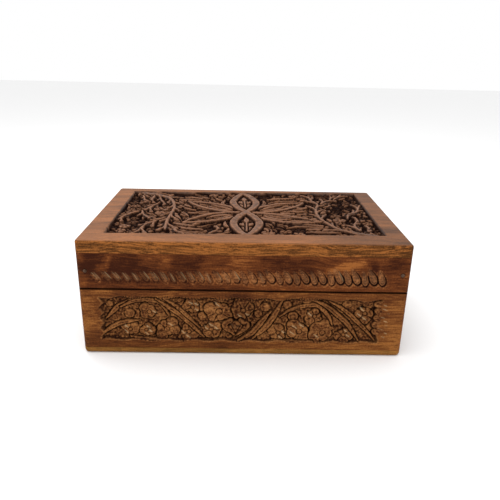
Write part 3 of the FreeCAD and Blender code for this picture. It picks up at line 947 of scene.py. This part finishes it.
def carve_front(across, up):
    """Heights of the base's front."""
    x, z = np.meshgrid(across, up)
    inside = inside_outline(x, z, FRONT_FIELD) - 0.9 * np.sin(x * 0.35) - 0.7 * np.sin(z * 0.9 + 1.0)
    carving = wall_carving(across, up, inside, seed=11)
    carve_buds(carving, FRONT_BUDS)
    carve_blossoms(carving, FRONT_BLOSSOMS)
    carve_heart(carving, foot=(-5.0, 13.0), size=11.5)
    carve_scallops(carving, x=85.0, low=15.0, high=39.0, count=5)
    carve_blades(carving, FRONT_BLADES)
    for start, end, z_line, pitch, lean in FRONT_TICKS:
        edge_ticks(carving, start, end, z_line, pitch, lean)
    for n in range(9):
        place = (89.0 + 1.8 * math.sin(2.3 * n), 14.0 + 2.8 * n)
        pale = 0.35 + 0.25 * math.sin(1.9 * n)
        flick(carving, place, length=2.6 + math.sin(3.9 * n), heading=-0.35, pale=pale)
    dimpled(carving, inside, seed=23)
    return carving


# The base's ends, from the middle of the wall to one side of it. The other side mirrors it.
END_FIELD = ((-51.5, 9.4), (51.5, 9.4), (51.5, 39.4), (-51.5, 39.4))
END_BUDS = (((12.5, 34.5), 2.6), ((33.0, 35.5), 2.8), ((47.5, 30.5), 2.6), ((12.0, 13.0), 2.7))
END_BLOSSOMS = (
    ((23.0, 16.0), 6.4, 5), ((38.0, 15.5), 5.6, 5), ((24.0, 31.0), 5.0, 5), ((42.0, 25.0), 4.6, 4),
)
END_BLADES = (
    (((4, 10.5), (13, 19), (22, 24.2), (34, 24.0), (48, 18.5)), (0.5, 1.6, 1.6, 1.4, 0.5)),
    (((9, 38.5), (16, 31), (17.5, 24.5), (13.5, 18.5)), (0.5, 1.4, 1.4, 0.5)),
    (((30, 38.5), (37, 32), (45, 33), (51, 37.5)), (0.5, 1.3, 1.3, 0.5)),
)


def carve_end(across, up):
    """Heights of the base's ends: a spray of flowers either side of a rosette."""
    x, z = np.meshgrid(across, up)
    inside = inside_outline(x, z, END_FIELD) - 0.8 * np.sin(x * 0.33) - 0.6 * np.sin(z * 0.8)
    carving = wall_carving(across, up, inside, seed=17)
    for side in (-1, 1):
        flip = np.array([side, 1])
        carve_buds(carving, [(flip * centre, radius) for centre, radius in END_BUDS])
        carve_blossoms(carving, [(flip * centre, *rest) for centre, *rest in END_BLOSSOMS])
        carve_blades(carving, [(flip * points, widths) for points, widths in END_BLADES])
    carve_blossoms(carving, [((0.0, 25.5), 9.0, 7)])
    edge_ticks(carving, -48.0, 48.0, z=38.8, pitch=1.8, lean=1.5)
    dimpled(carving, inside, seed=29)
    return carving


GOUGE_LINE = 55.0  # height of the middle of the lid's row of gouge cuts


def gouge_cut(carving, foot, length, half, depth, heading, fresh):
    """One push of a round gouge: a drop-shaped hollow with a stabbed outline, deepest at its foot."""
    foot = np.array(foot, float)
    window = carving.window(foot - length * 1.2, foot + length * 1.2)
    x, y = carving.x[window] - foot[0], carving.y[window] - foot[1]
    share = (x * math.cos(heading) + y * math.sin(heading)) / length
    aside = -x * math.sin(heading) + y * math.cos(heading) - 1.1 * np.clip(share - 0.3, 0, 1) ** 2
    belly = 0.3
    round_end = (np.hypot(aside / half, (share - belly) / belly) - 1) * half
    taper = np.clip((share - belly) / (1 - belly), 0, 1)
    outside = np.where(share < belly, round_end, abs(aside) - half * np.cos(taper * math.pi / 2) ** 0.75)
    fade = np.clip(1.0 - share, 0, 1) ** 0.6 * np.where(aside > 0, 0.8, 1.0)
    stab = np.exp(-((outside / 0.5) ** 2)) * fade
    echo = 0.4 * np.exp(-(((outside + 1.1) / 0.35) ** 2)) * fade
    bowl = np.clip(-outside / half, 0, 1) ** 0.6
    in_reach = (share > -0.2) & (share < 1)
    carving.height[window] -= np.where(in_reach, depth * (0.25 * bowl + stab + echo), 0.0)
    # Paler inside the hollow: bare wood, and partly a painted highlight.
    pale = np.where(in_reach & (outside < 0), fresh * bowl, 0.0)
    carving.fresh[window] = np.maximum(carving.fresh[window], pale)


def gouge_row(across, up, start, end, count, deepest):
    """Heights of a lid wall: a row of gouge cuts that grow bolder along it."""
    carving = Carving(across, up, np.zeros((len(up), len(across))))
    for n in range(count):
        share = n / (count - 1)
        bold = 0.3 + 0.7 * share
        wobble = math.sin(3.1 * n) + 0.5 * math.sin(7.7 * n)
        foot_x = start + (end - start) * share**0.95 + 1.5 + 0.3 * wobble
        foot_z = GOUGE_LINE - 4.8 - 0.7 * share + 0.4 * wobble
        heading = math.radians(128 + 5 * wobble - 20 * share**0.6)
        length = 8.6 + 3.4 * share + 0.5 * wobble
        half = 1.6 + 0.8 * share + 0.1 * wobble
        depth = deepest * bold * (1 + 0.15 * wobble)
        gouge_cut(carving, (foot_x, foot_z), length, half, depth, heading, fresh=0.03 + 0.07 * share)
        if share < 0.45 or n % 3 == 0:
            # Slits left pale: bare wood, and partly a painted highlight.
            for aside in (-0.7 - 0.3 * wobble, 0.8):
                slit = np.array([foot_x + aside, foot_z + 1.4 + 0.4 * wobble])
                pale = np.clip(0.36 - 0.5 * share + 0.5 * wobble * aside, 0.0, 0.9)
                carving.cut([slit, slit + turned(heading, length * 0.65)], half=0.36, depth=0.3, fresh=pale)
    return carving


# Boards


def spaced(low, high, step, radius_low, radius_high):
    """Grid lines from low to high, closer where an edge is rounded."""
    quarter = 1 - np.cos(np.linspace(0, math.pi / 2, 6))
    starts = low + radius_low * quarter if radius_low else np.array([low])
    ends = (high - radius_high * quarter)[::-1] if radius_high else np.array([high])
    count = max(2, int(round((ends[0] - starts[-1]) / step)))
    return np.r_[starts, np.linspace(starts[-1], ends[0], count + 1)[1:-1], ends]


def edge_drop(distance, radius):
    """How far a rounded edge falls below the face at a distance from the edge."""
    if radius <= 0:
        return np.zeros_like(distance)
    short = np.clip(radius - distance, 0, radius)
    return radius - np.sqrt(np.clip(radius**2 - short**2, 0, None))


def ridges(height, step):
    """Where the relief stands above its surroundings, from 0 to 1."""
    around = height.copy()
    for _ in range(4):
        padded = np.pad(around, 1, mode="edge")
        around = (padded[:-2, 1:-1] + padded[2:, 1:-1] + padded[1:-1, :-2] + padded[1:-1, 2:]) / 4
    return np.clip((height - around) / (step * 0.45), 0, 1) * smooth_step(-height / 0.12)


def widest(height, steps):
    """Highest point within a few grid steps."""
    for axis in (0, 1):
        near = height
        for step in range(1, steps + 1):
            near = np.maximum(near, np.maximum(np.roll(height, step, axis), np.roll(height, -step, axis)))
        height = near
    return height


class StainAndShade(NamedTuple):
    """How stain and painted shade lie on a carved board.

    flank is how dark it is beside whatever stands up, as far as reach. clean is the step down that stays
    free of it. deep_from is the share of the depth where the ground darkens, and the last field is how much
    darker the rounded edges are.
    """

    flank: float
    clean: float
    deep_from: float
    reach: float = 1.5
    edge_darkening: float = 0.0

    def cover(self, height, depth_scale, step):
        """Stain and painted shade deep down, and on the flanks of whatever stands up, from 0 to 1."""
        below = widest(height, round(self.reach / step)) - height
        sides = self.flank * smooth_step((below - self.clean) / (0.3 + 2 * self.clean))
        deep = smooth_step((-height / depth_scale - self.deep_from) / 0.4)
        return np.clip(np.maximum(deep, sides), 0, 1)


# Stain and painted shade of each kind of board.
TOP_STAIN_AND_SHADE = StainAndShade(flank=0.9, clean=0.14, deep_from=0.34)
BASE_STAIN_AND_SHADE = StainAndShade(flank=0.78, clean=0.24, deep_from=0.66, reach=0.8, edge_darkening=0.95)
LID_STAIN_AND_SHADE = StainAndShade(flank=0.6, clean=0.22, deep_from=0.3, reach=0.8, edge_darkening=0.95)
VELVET_STAIN_AND_SHADE = StainAndShade(flank=0.0, clean=0.2, deep_from=1.0)


OUTER_ROW_SHARE = 0.6  # share of stain and painted shade kept along a board's lower and upper edge


class Board:
    """A closed board whose face is a grid of heights. Axes: across, up, and out of the face."""

    def __init__(self, name, origin, across_axis, up_axis, thickness):
        self.name = name
        self.origin = np.array(origin, float)
        self.across_axis = np.array(across_axis, float)
        self.up_axis = np.array(up_axis, float)
        self.out_axis = np.cross(self.across_axis, self.up_axis)
        self.thickness = thickness

    def grid(self, across_span, up_span, step, across_round, up_round):
        """Sets the grid from the board's two spans and the radii of its four edges."""
        self.step = step
        self.across_span, self.up_span = across_span, up_span
        self.across_round, self.up_round = across_round, up_round
        self.across = spaced(*across_span, step, *across_round)
        self.up = spaced(*up_span, step, *up_round)
        return self.across, self.up

    def build(self, carving, depth_scale, stain, corner=0.0):
        """Makes the mesh from a carving. corner rounds the board's four corners in plan."""
        height = carving.height
        x, y = np.meshgrid(self.across, self.up)
        up_drop = self.span_drop(y, self.up_span, self.up_round)
        drop = np.maximum(self.span_drop(x, self.across_span, self.across_round), up_drop)
        px, py = self.rounded_plan(x, y, corner)
        face = self.placed(px, py, height - drop)
        rim = self.rim_indices(*x.shape)
        back = self.placed(px.ravel()[rim], py.ravel()[rim], np.full(len(rim), -self.thickness))
        mesh = self.mesh_from(face, back, rim, height)
        # The rounded edges made darker, and joined with the stain and painted shade.
        darker_edges = stain.edge_darkening * smooth_step((up_drop - 0.1) / 0.3)
        cover = np.maximum(stain.cover(height, depth_scale, self.step), darker_edges)
        cover[[0, -1]] *= OUTER_ROW_SHARE
        # Stain with painted shade, ridges given a painted highlight, pale cuts partly a painted highlight.
        looks = {
            "depth": np.clip(-height / depth_scale, 0, 1),
            "stain": cover,
            "ridge": ridges(height, self.step),
            "fresh": carving.fresh,
        }
        for name, values in looks.items():
            self.add_attribute(mesh, name, values, len(rim))
        piece = bpy.data.objects.new(self.name, mesh)
        bpy.context.scene.collection.objects.link(piece)
        return piece

    def span_drop(self, along, span, radii):
        """How far the face falls at the two rounded ends of a span."""
        return edge_drop(along - span[0], radii[0]) + edge_drop(span[1] - along, radii[1])

    def rounded_plan(self, x, y, corner):
        """The grid with its four corners drawn in to a radius."""
        if corner <= 0:
            return x, y
        qx = np.clip(x, self.across_span[0] + corner, self.across_span[1] - corner)
        qy = np.clip(y, self.up_span[0] + corner, self.up_span[1] - corner)
        dx, dy = x - qx, y - qy
        far = np.hypot(dx, dy)
        scale = np.where(far > 1e-9, np.maximum(abs(dx), abs(dy)) / np.maximum(far, 1e-9), 1.0)
        return qx + dx * scale, qy + dy * scale

    def placed(self, x, y, out):
        """Points in metres, from millimetres on the board."""
        points = (
            self.origin
            + np.asarray(x)[..., None] * self.across_axis
            + np.asarray(y)[..., None] * self.up_axis
            + np.asarray(out)[..., None] * self.out_axis
        )
        return points.reshape(-1, 3) * MM

    def rim_indices(self, rows, columns):
        """Grid points round the edge, anticlockwise seen from outside."""
        index = np.arange(rows * columns).reshape(rows, columns)
        return np.r_[index[0, :-1], index[:-1, -1], index[-1, :0:-1], index[:0:-1, 0]]

    def mesh_from(self, face, back, rim, height):
        """Triangles over the face, along each cell's flatter diagonal, then sides and a back."""
        rows, columns = height.shape
        index = np.arange(rows * columns).reshape(rows, columns)
        a, b = index[:-1, :-1].ravel(), index[:-1, 1:].ravel()
        c, d = index[1:, 1:].ravel(), index[1:, :-1].ravel()
        flat = height.ravel()
        first = (abs(flat[a] - flat[c]) <= abs(flat[b] - flat[d]))[:, None]
        one = np.where(first, np.c_[a, b, c], np.c_[a, b, d])
        two = np.where(first, np.c_[a, c, d], np.c_[b, c, d])
        count = rows * columns
        after = np.roll(np.arange(len(rim)), -1)
        sides = np.c_[rim, np.arange(len(rim)) + count, after + count, rim[after]]
        faces = np.vstack([one, two]).tolist() + sides.tolist()
        faces.append((np.arange(len(rim))[::-1] + count).tolist())
        mesh = bpy.data.meshes.new(self.name)
        mesh.from_pydata(np.vstack([face, back]).tolist(), [], faces)
        mesh.validate()
        mesh.shade_smooth()
        self.sharpen(mesh, count)
        return mesh

    def sharpen(self, mesh, count):
        """Keeps the edges of the back, and those between the sides, crisp."""
        ends = np.empty(len(mesh.edges) * 2, int)
        mesh.edges.foreach_get("vertices", ends)
        ends = ends.reshape(-1, 2)
        sharp = (ends >= count).all(1)
        columns, rows = len(self.across), len(self.up)
        corners = {0, columns - 1, columns * rows - 1, columns * (rows - 1)}
        joins = (ends >= count).any(1) & ~sharp
        at_corner = np.isin(ends.min(1), list(corners))
        mesh.attributes.new("sharp_edge", "BOOLEAN", "EDGE")
        mesh.attributes["sharp_edge"].data.foreach_set("value", sharp | (joins & at_corner))

    def add_attribute(self, mesh, name, values, extra):
        """Stores a value for each point of the face, and 0 for the points at the back."""
        attribute = mesh.attributes.new(name, "FLOAT", "POINT")
        attribute.data.foreach_set("value", np.r_[values.ravel(), np.zeros(extra)].astype(np.float32))


def box_mm(node):
    """A node's lowest and highest corners, in millimetres."""
    low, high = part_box(node)
    return np.array(low) / MM, np.array(high) / MM


def dress(piece, material, body, node):
    """Gives a new piece its finish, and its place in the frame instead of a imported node."""
    piece.data.materials.append(material)
    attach(piece, body)
    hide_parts(node)


def finish_node(node, material):
    """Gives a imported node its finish."""
    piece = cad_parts[node]
    piece.data.materials.clear()
    piece.data.materials.append(material)


TOP_GRID = 1.34  # the top's larger forms need a coarser grid than the walls
CORNER = 2.6  # radius of the box's upright edges
LID_EDGES = (1.0, 0.15)  # radii of a lid wall's lower and upper edge
BASE_EDGES = (0.25, 1.0)
BASE_DEEPEST = 1.9  # deepest cut of the base's carving, as a multiple of its ground's depth


def worked_wall(work, body, facing, edges, carve, depth_scale, stain, material):
    """Wall that replaces a packed one. work names how its face is made. facing is front, left or right."""
    node = f"{body}_{facing}_wall"
    low, high = box_mm(node)
    corners = (0, 0)
    if facing == "front":
        face, across_axis, thickness = (0, low[1], 0), (1, 0, 0), high[1] - low[1]
        span = (low[0], high[0])
        corners = (CORNER, CORNER)
    elif facing == "left":
        face, across_axis, thickness = (low[0], 0, 0), (0, -1, 0), high[0] - low[0]
        span = (-high[1], -low[1])
    else:
        face, across_axis, thickness = (high[0], 0, 0), (0, 1, 0), high[0] - low[0]
        span = (low[1], high[1])
    board = Board(f"{work}_{body}_{facing}", face, across_axis, (0, 0, 1), thickness)
    across, up = board.grid(span, (low[2], high[2]), sizes().grid / MM, corners, edges)
    piece = board.build(carve(across, up), depth_scale, stain)
    dress(piece, material, body, node)


def gouged_lid_front(across, up):
    """Heights of the lid's front, with a dimple at each nail head."""
    carving = gouge_row(across, up, start=-90.0, end=84.0, count=33, deepest=sizes().gouge_depth / MM)
    low, high = box_mm("lid_corner_nails")
    z = (low[2] + high[2]) / 2
    radius = (high[2] - low[2]) / 2
    for x in (low[0] + radius, high[0] - radius):
        away = np.hypot(carving.x - x, carving.y - z)
        carving.height -= 0.35 * (1 - smooth_step((away - radius) / 0.8))
    return carving


def gouged_lid_end(across, up):
    """Heights of the lid's ends."""
    return gouge_row(across, up, start=-46.0, end=44.0, count=18, deepest=sizes().gouge_depth / MM * 0.9)


class BOX_OT_carved_top(bpy.types.Operator):
    """Make the lid's carved top board"""

    bl_idname = "jewelry_box.carved_top"
    bl_label = "Carved top"

    def execute(self, context):
        low, high = box_mm("lid_top_board")
        board = Board("carved_top_board", (0, 0, high[2]), (1, 0, 0), (0, 1, 0), high[2] - low[2])
        edges = (sizes().edge_round / MM, sizes().edge_round / MM)
        step = sizes().grid / MM * TOP_GRID
        across, up = board.grid((low[0], high[0]), (low[1], high[1]), step, edges, edges)
        piece = board.build(carve_top(across, up), sizes().top_depth / MM, TOP_STAIN_AND_SHADE, corner=CORNER)
        dress(piece, top_wood(), "lid", "lid_top_board")
        return {"FINISHED"}


class BOX_OT_lid_walls(bpy.types.Operator):
    """Make the lid's walls with their rows of gouge cuts"""

    bl_idname = "jewelry_box.lid_walls"
    bl_label = "Lid walls"

    def execute(self, context):
        depth = sizes().gouge_depth / MM
        front = wall_wood("lid_front_wood", patches=WALL_PATCHES, shift=-0.1, redder=0.1)
        end = wall_wood("lid_end_wood", along="Y")
        worked_wall("gouged", "lid", "front", LID_EDGES, gouged_lid_front, depth, LID_STAIN_AND_SHADE, front)
        for side in ("left", "right"):
            worked_wall("gouged", "lid", side, LID_EDGES, gouged_lid_end, depth, LID_STAIN_AND_SHADE, end)
        finish_node("lid_back_wall", wall_wood("lid_back_wood"))
        return {"FINISHED"}


class BOX_OT_base_walls(bpy.types.Operator):
    """Make the base's carved walls and finish its plain ones"""

    bl_idname = "jewelry_box.base_walls"
    bl_label = "Base walls"

    def execute(self, context):
        depth = sizes().front_depth / MM * BASE_DEEPEST
        front = wall_wood("base_front_wood", patches=WALL_PATCHES)
        end = wall_wood("base_end_wood", along="Y")
        worked_wall("carved", "base", "front", BASE_EDGES, carve_front, depth, BASE_STAIN_AND_SHADE, front)
        for side in ("left", "right"):
            worked_wall("carved", "base", side, BASE_EDGES, carve_end, depth, BASE_STAIN_AND_SHADE, end)
        finish_node("base_back_wall", wall_wood("base_back_wood"))
        finish_node("bottom_board", bottom_wood())
        return {"FINISHED"}


def pad_heights(across, up, crown, seed):
    """Soft swell with the faint unevenness of stretched velvet."""
    x, y = np.meshgrid(across, up)
    u = np.clip((x - across[0]) / (across[-1] - across[0]), 0, 1)
    v = np.clip((y - up[0]) / (up[-1] - up[0]), 0, 1)
    swell = (4 * u * (1 - u)) ** 0.35 * (4 * v * (1 - v)) ** 0.35
    ripple = 0.06 * np.sin(0.11 * x + seed) * np.sin(0.17 * y + 2 * seed)
    pull = 0.05 * np.sin(0.9 * x + seed) * np.exp(-v * 9) + 0.05 * np.sin(0.8 * y) * np.exp(-u * 9)
    return Carving(across, up, crown * (swell - 1) + ripple + pull)


PAD_GRID = 1.0
PAD_GAP = 1.6  # between a pad and the wall linings
PAD_EDGE = (1.2, 1.2)
LINING_GRID = 1.2
LINING_EDGE = (0.9, 0.9)
LINING_CROWN = 0.25


class BOX_OT_lining(bpy.types.Operator):
    """Make the velvet pads and wall linings"""

    bl_idname = "jewelry_box.lining"
    bl_label = "Velvet lining"

    def execute(self, context):
        cloth = velvet()
        self.pad("velvet_floor_pad", "base_floor_pad", "base", cloth, up=1)
        self.pad("velvet_ceiling_pad", "lid_ceiling_pad", "lid", cloth, up=-1)
        for body in ("base", "lid"):
            for side in ("front", "back", "left", "right"):
                self.wall(side, body, cloth)
        return {"FINISHED"}

    def pad(self, name, node, body, cloth, up):
        """Pad whose soft side faces up, 1, or down, -1."""
        low, high = box_mm(node)
        crown = sizes().pad_crown / MM
        swell = crown * 0.6
        face = high[2] + swell if up > 0 else low[2] - swell
        board = Board(name, (0, 0, face), (1, 0, 0), (0, up, 0), high[2] - low[2] + swell)
        depth = sorted((up * low[1], up * high[1]))
        spans = [(start + PAD_GAP, end - PAD_GAP) for start, end in ((low[0], high[0]), depth)]
        across, along = board.grid(*spans, PAD_GRID, PAD_EDGE, PAD_EDGE)
        cushion = pad_heights(across, along, crown, seed=1.5 + up * 0.5)
        piece = board.build(cushion, 1.0, VELVET_STAIN_AND_SHADE, corner=2.0)
        dress(piece, cloth, body, node)

    def wall(self, side, body, cloth):
        """Lining of one wall, seen from inside the box."""
        node = f"{body}_lining_{side}"
        low, high = box_mm(node)
        inward = 1 if side in ("front", "left") else -1
        axis = 1 if side in ("front", "back") else 0
        face = [0, 0, 0]
        face[axis] = high[axis] if inward > 0 else low[axis]
        across_axis = (-inward, 0, 0) if axis else (0, inward, 0)
        board = Board(f"velvet_{body}_{side}", face, across_axis, (0, 0, 1), high[axis] - low[axis])
        span = (low[1 - axis], high[1 - axis])
        across, up = board.grid(span, (low[2], high[2]), LINING_GRID, (0, 0), LINING_EDGE)
        cushion = pad_heights(across, up, LINING_CROWN, seed=2.0 + len(side))
        dress(board.build(cushion, 1.0, VELVET_STAIN_AND_SHADE), cloth, body, node)


class BOX_OT_metalwork(bpy.types.Operator):
    """Finish the hinges, screws, pins and nails"""

    bl_idname = "jewelry_box.metalwork"
    bl_label = "Metalwork"

    def execute(self, context):
        warm = brass()
        grey = steel()
        for side in ("left", "right"):
            finish_node(f"{side}_hinge_pin", grey)
            for part in ("base", "lid"):
                finish_node(f"{side}_hinge_{part}_leaf", warm)
                finish_node(f"{side}_hinge_{part}_screws", warm)
        finish_node("lid_corner_nails", stained_nails())
        finish_node("bottom_nails", grey)
        return {"FINISHED"}


# Stage

CAMERA_PLACE = (-0.0031, -0.3536, 0.1814)
CAMERA_YAW = math.radians(1.18)
CAMERA_PITCH = math.radians(20.67)
CAMERA_ROLL = math.radians(1.34)
CAMERA_LENS = 37.4


def add_area_light(name, place, aim, size, power):
    """Soft rectangular light that points at a place."""
    light = bpy.data.lights.new(name, "AREA")
    light.shape = "RECTANGLE"
    light.size, light.size_y = size
    light.energy = power
    lamp = bpy.data.objects.new(name, light)
    lamp.location = place
    direction = Vector(aim) - Vector(place)
    lamp.rotation_euler = direction.to_track_quat("-Z", "Y").to_euler()
    bpy.context.scene.collection.objects.link(lamp)


class BOX_OT_stage(bpy.types.Operator):
    """Set up the camera, the floor and soft studio light"""

    bl_idname = "jewelry_box.stage"
    bl_label = "Stage"

    def execute(self, context):
        self.add_camera(context.scene)
        self.add_floor(context.scene)
        self.add_lights(context.scene)
        return {"FINISHED"}

    def add_camera(self, scene):
        camera = bpy.data.objects.new("camera", bpy.data.cameras.new("camera"))
        camera.data.lens = CAMERA_LENS
        camera.data.clip_start = 0.01
        turn = Matrix.Rotation(-CAMERA_YAW, 4, "Z")
        tilt = Matrix.Rotation(math.pi / 2 - CAMERA_PITCH, 4, "X")
        roll = Matrix.Rotation(CAMERA_ROLL, 4, "Z")
        camera.matrix_world = Matrix.Translation(CAMERA_PLACE) @ turn @ tilt @ roll
        scene.collection.objects.link(camera)
        scene.camera = camera

    def add_floor(self, scene):
        half = 3.0
        mesh = bpy.data.meshes.new("floor")
        corners = [(-half, -half, 0), (half, -half, 0), (half, half, 0), (-half, half, 0)]
        mesh.from_pydata(corners, [], [(0, 1, 2, 3)])
        floor = bpy.data.objects.new("floor", mesh)
        pale = Paint("pale_floor").finish(Base_Color=(0.9, 0.9, 0.9), Roughness=0.9, Specular_IOR_Level=0.1)
        mesh.materials.append(pale)
        scene.collection.objects.link(floor)

    def add_lights(self, scene):
        world = bpy.data.worlds.new("studio")
        world.use_nodes = True
        background = world.node_tree.nodes["Background"]
        background.inputs["Color"].default_value = (1, 1, 1, 1)
        background.inputs["Strength"].default_value = 1.0
        scene.world = world
        scene.view_settings.view_transform = "Standard"
        centre = (0, 0, 0.04)
        add_area_light("overhead", (-0.15, -0.1, 0.9), centre, size=(1.0, 0.8), power=5.0)
        add_area_light("back_left", (-0.45, 0.5, 0.55), centre, size=(0.3, 0.3), power=0.9)


OPERATORS = (
    BOX_OT_stage,
    BOX_OT_carved_top,
    BOX_OT_lid_walls,
    BOX_OT_base_walls,
    BOX_OT_metalwork,
    BOX_OT_lining,
)


class BOX_PT_panel(bpy.types.Panel):
    """Lists the steps that make the box."""

    bl_idname = "BOX_PT_panel"
    bl_label = "Jewelry box"
    bl_space_type = "VIEW_3D"
    bl_region_type = "UI"
    bl_category = "Jewelry box"

    def draw(self, context):
        for operator in OPERATORS:
            self.layout.operator(operator.bl_idname)
        for group in (context.scene.box_sizes, context.scene.box_colours):
            for name in group.__annotations__:
                self.layout.prop(group, name)


CLASSES = (BoxSizes, BoxColours, *OPERATORS, BOX_PT_panel)


def register():
    for cls in CLASSES:
        bpy.utils.register_class(cls)
    bpy.types.Scene.box_sizes = bpy.props.PointerProperty(type=BoxSizes)
    bpy.types.Scene.box_colours = bpy.props.PointerProperty(type=BoxColours)


def unregister():
    del bpy.types.Scene.box_colours
    del bpy.types.Scene.box_sizes
    for cls in reversed(CLASSES):
        bpy.utils.unregister_class(cls)


def main():
    register()
    bpy.ops.jewelry_box.stage()
    bpy.ops.jewelry_box.carved_top()
    bpy.ops.jewelry_box.lid_walls()
    bpy.ops.jewelry_box.base_walls()
    bpy.ops.jewelry_box.metalwork()
    bpy.ops.jewelry_box.lining()


if __name__ == "__main__":
    main()
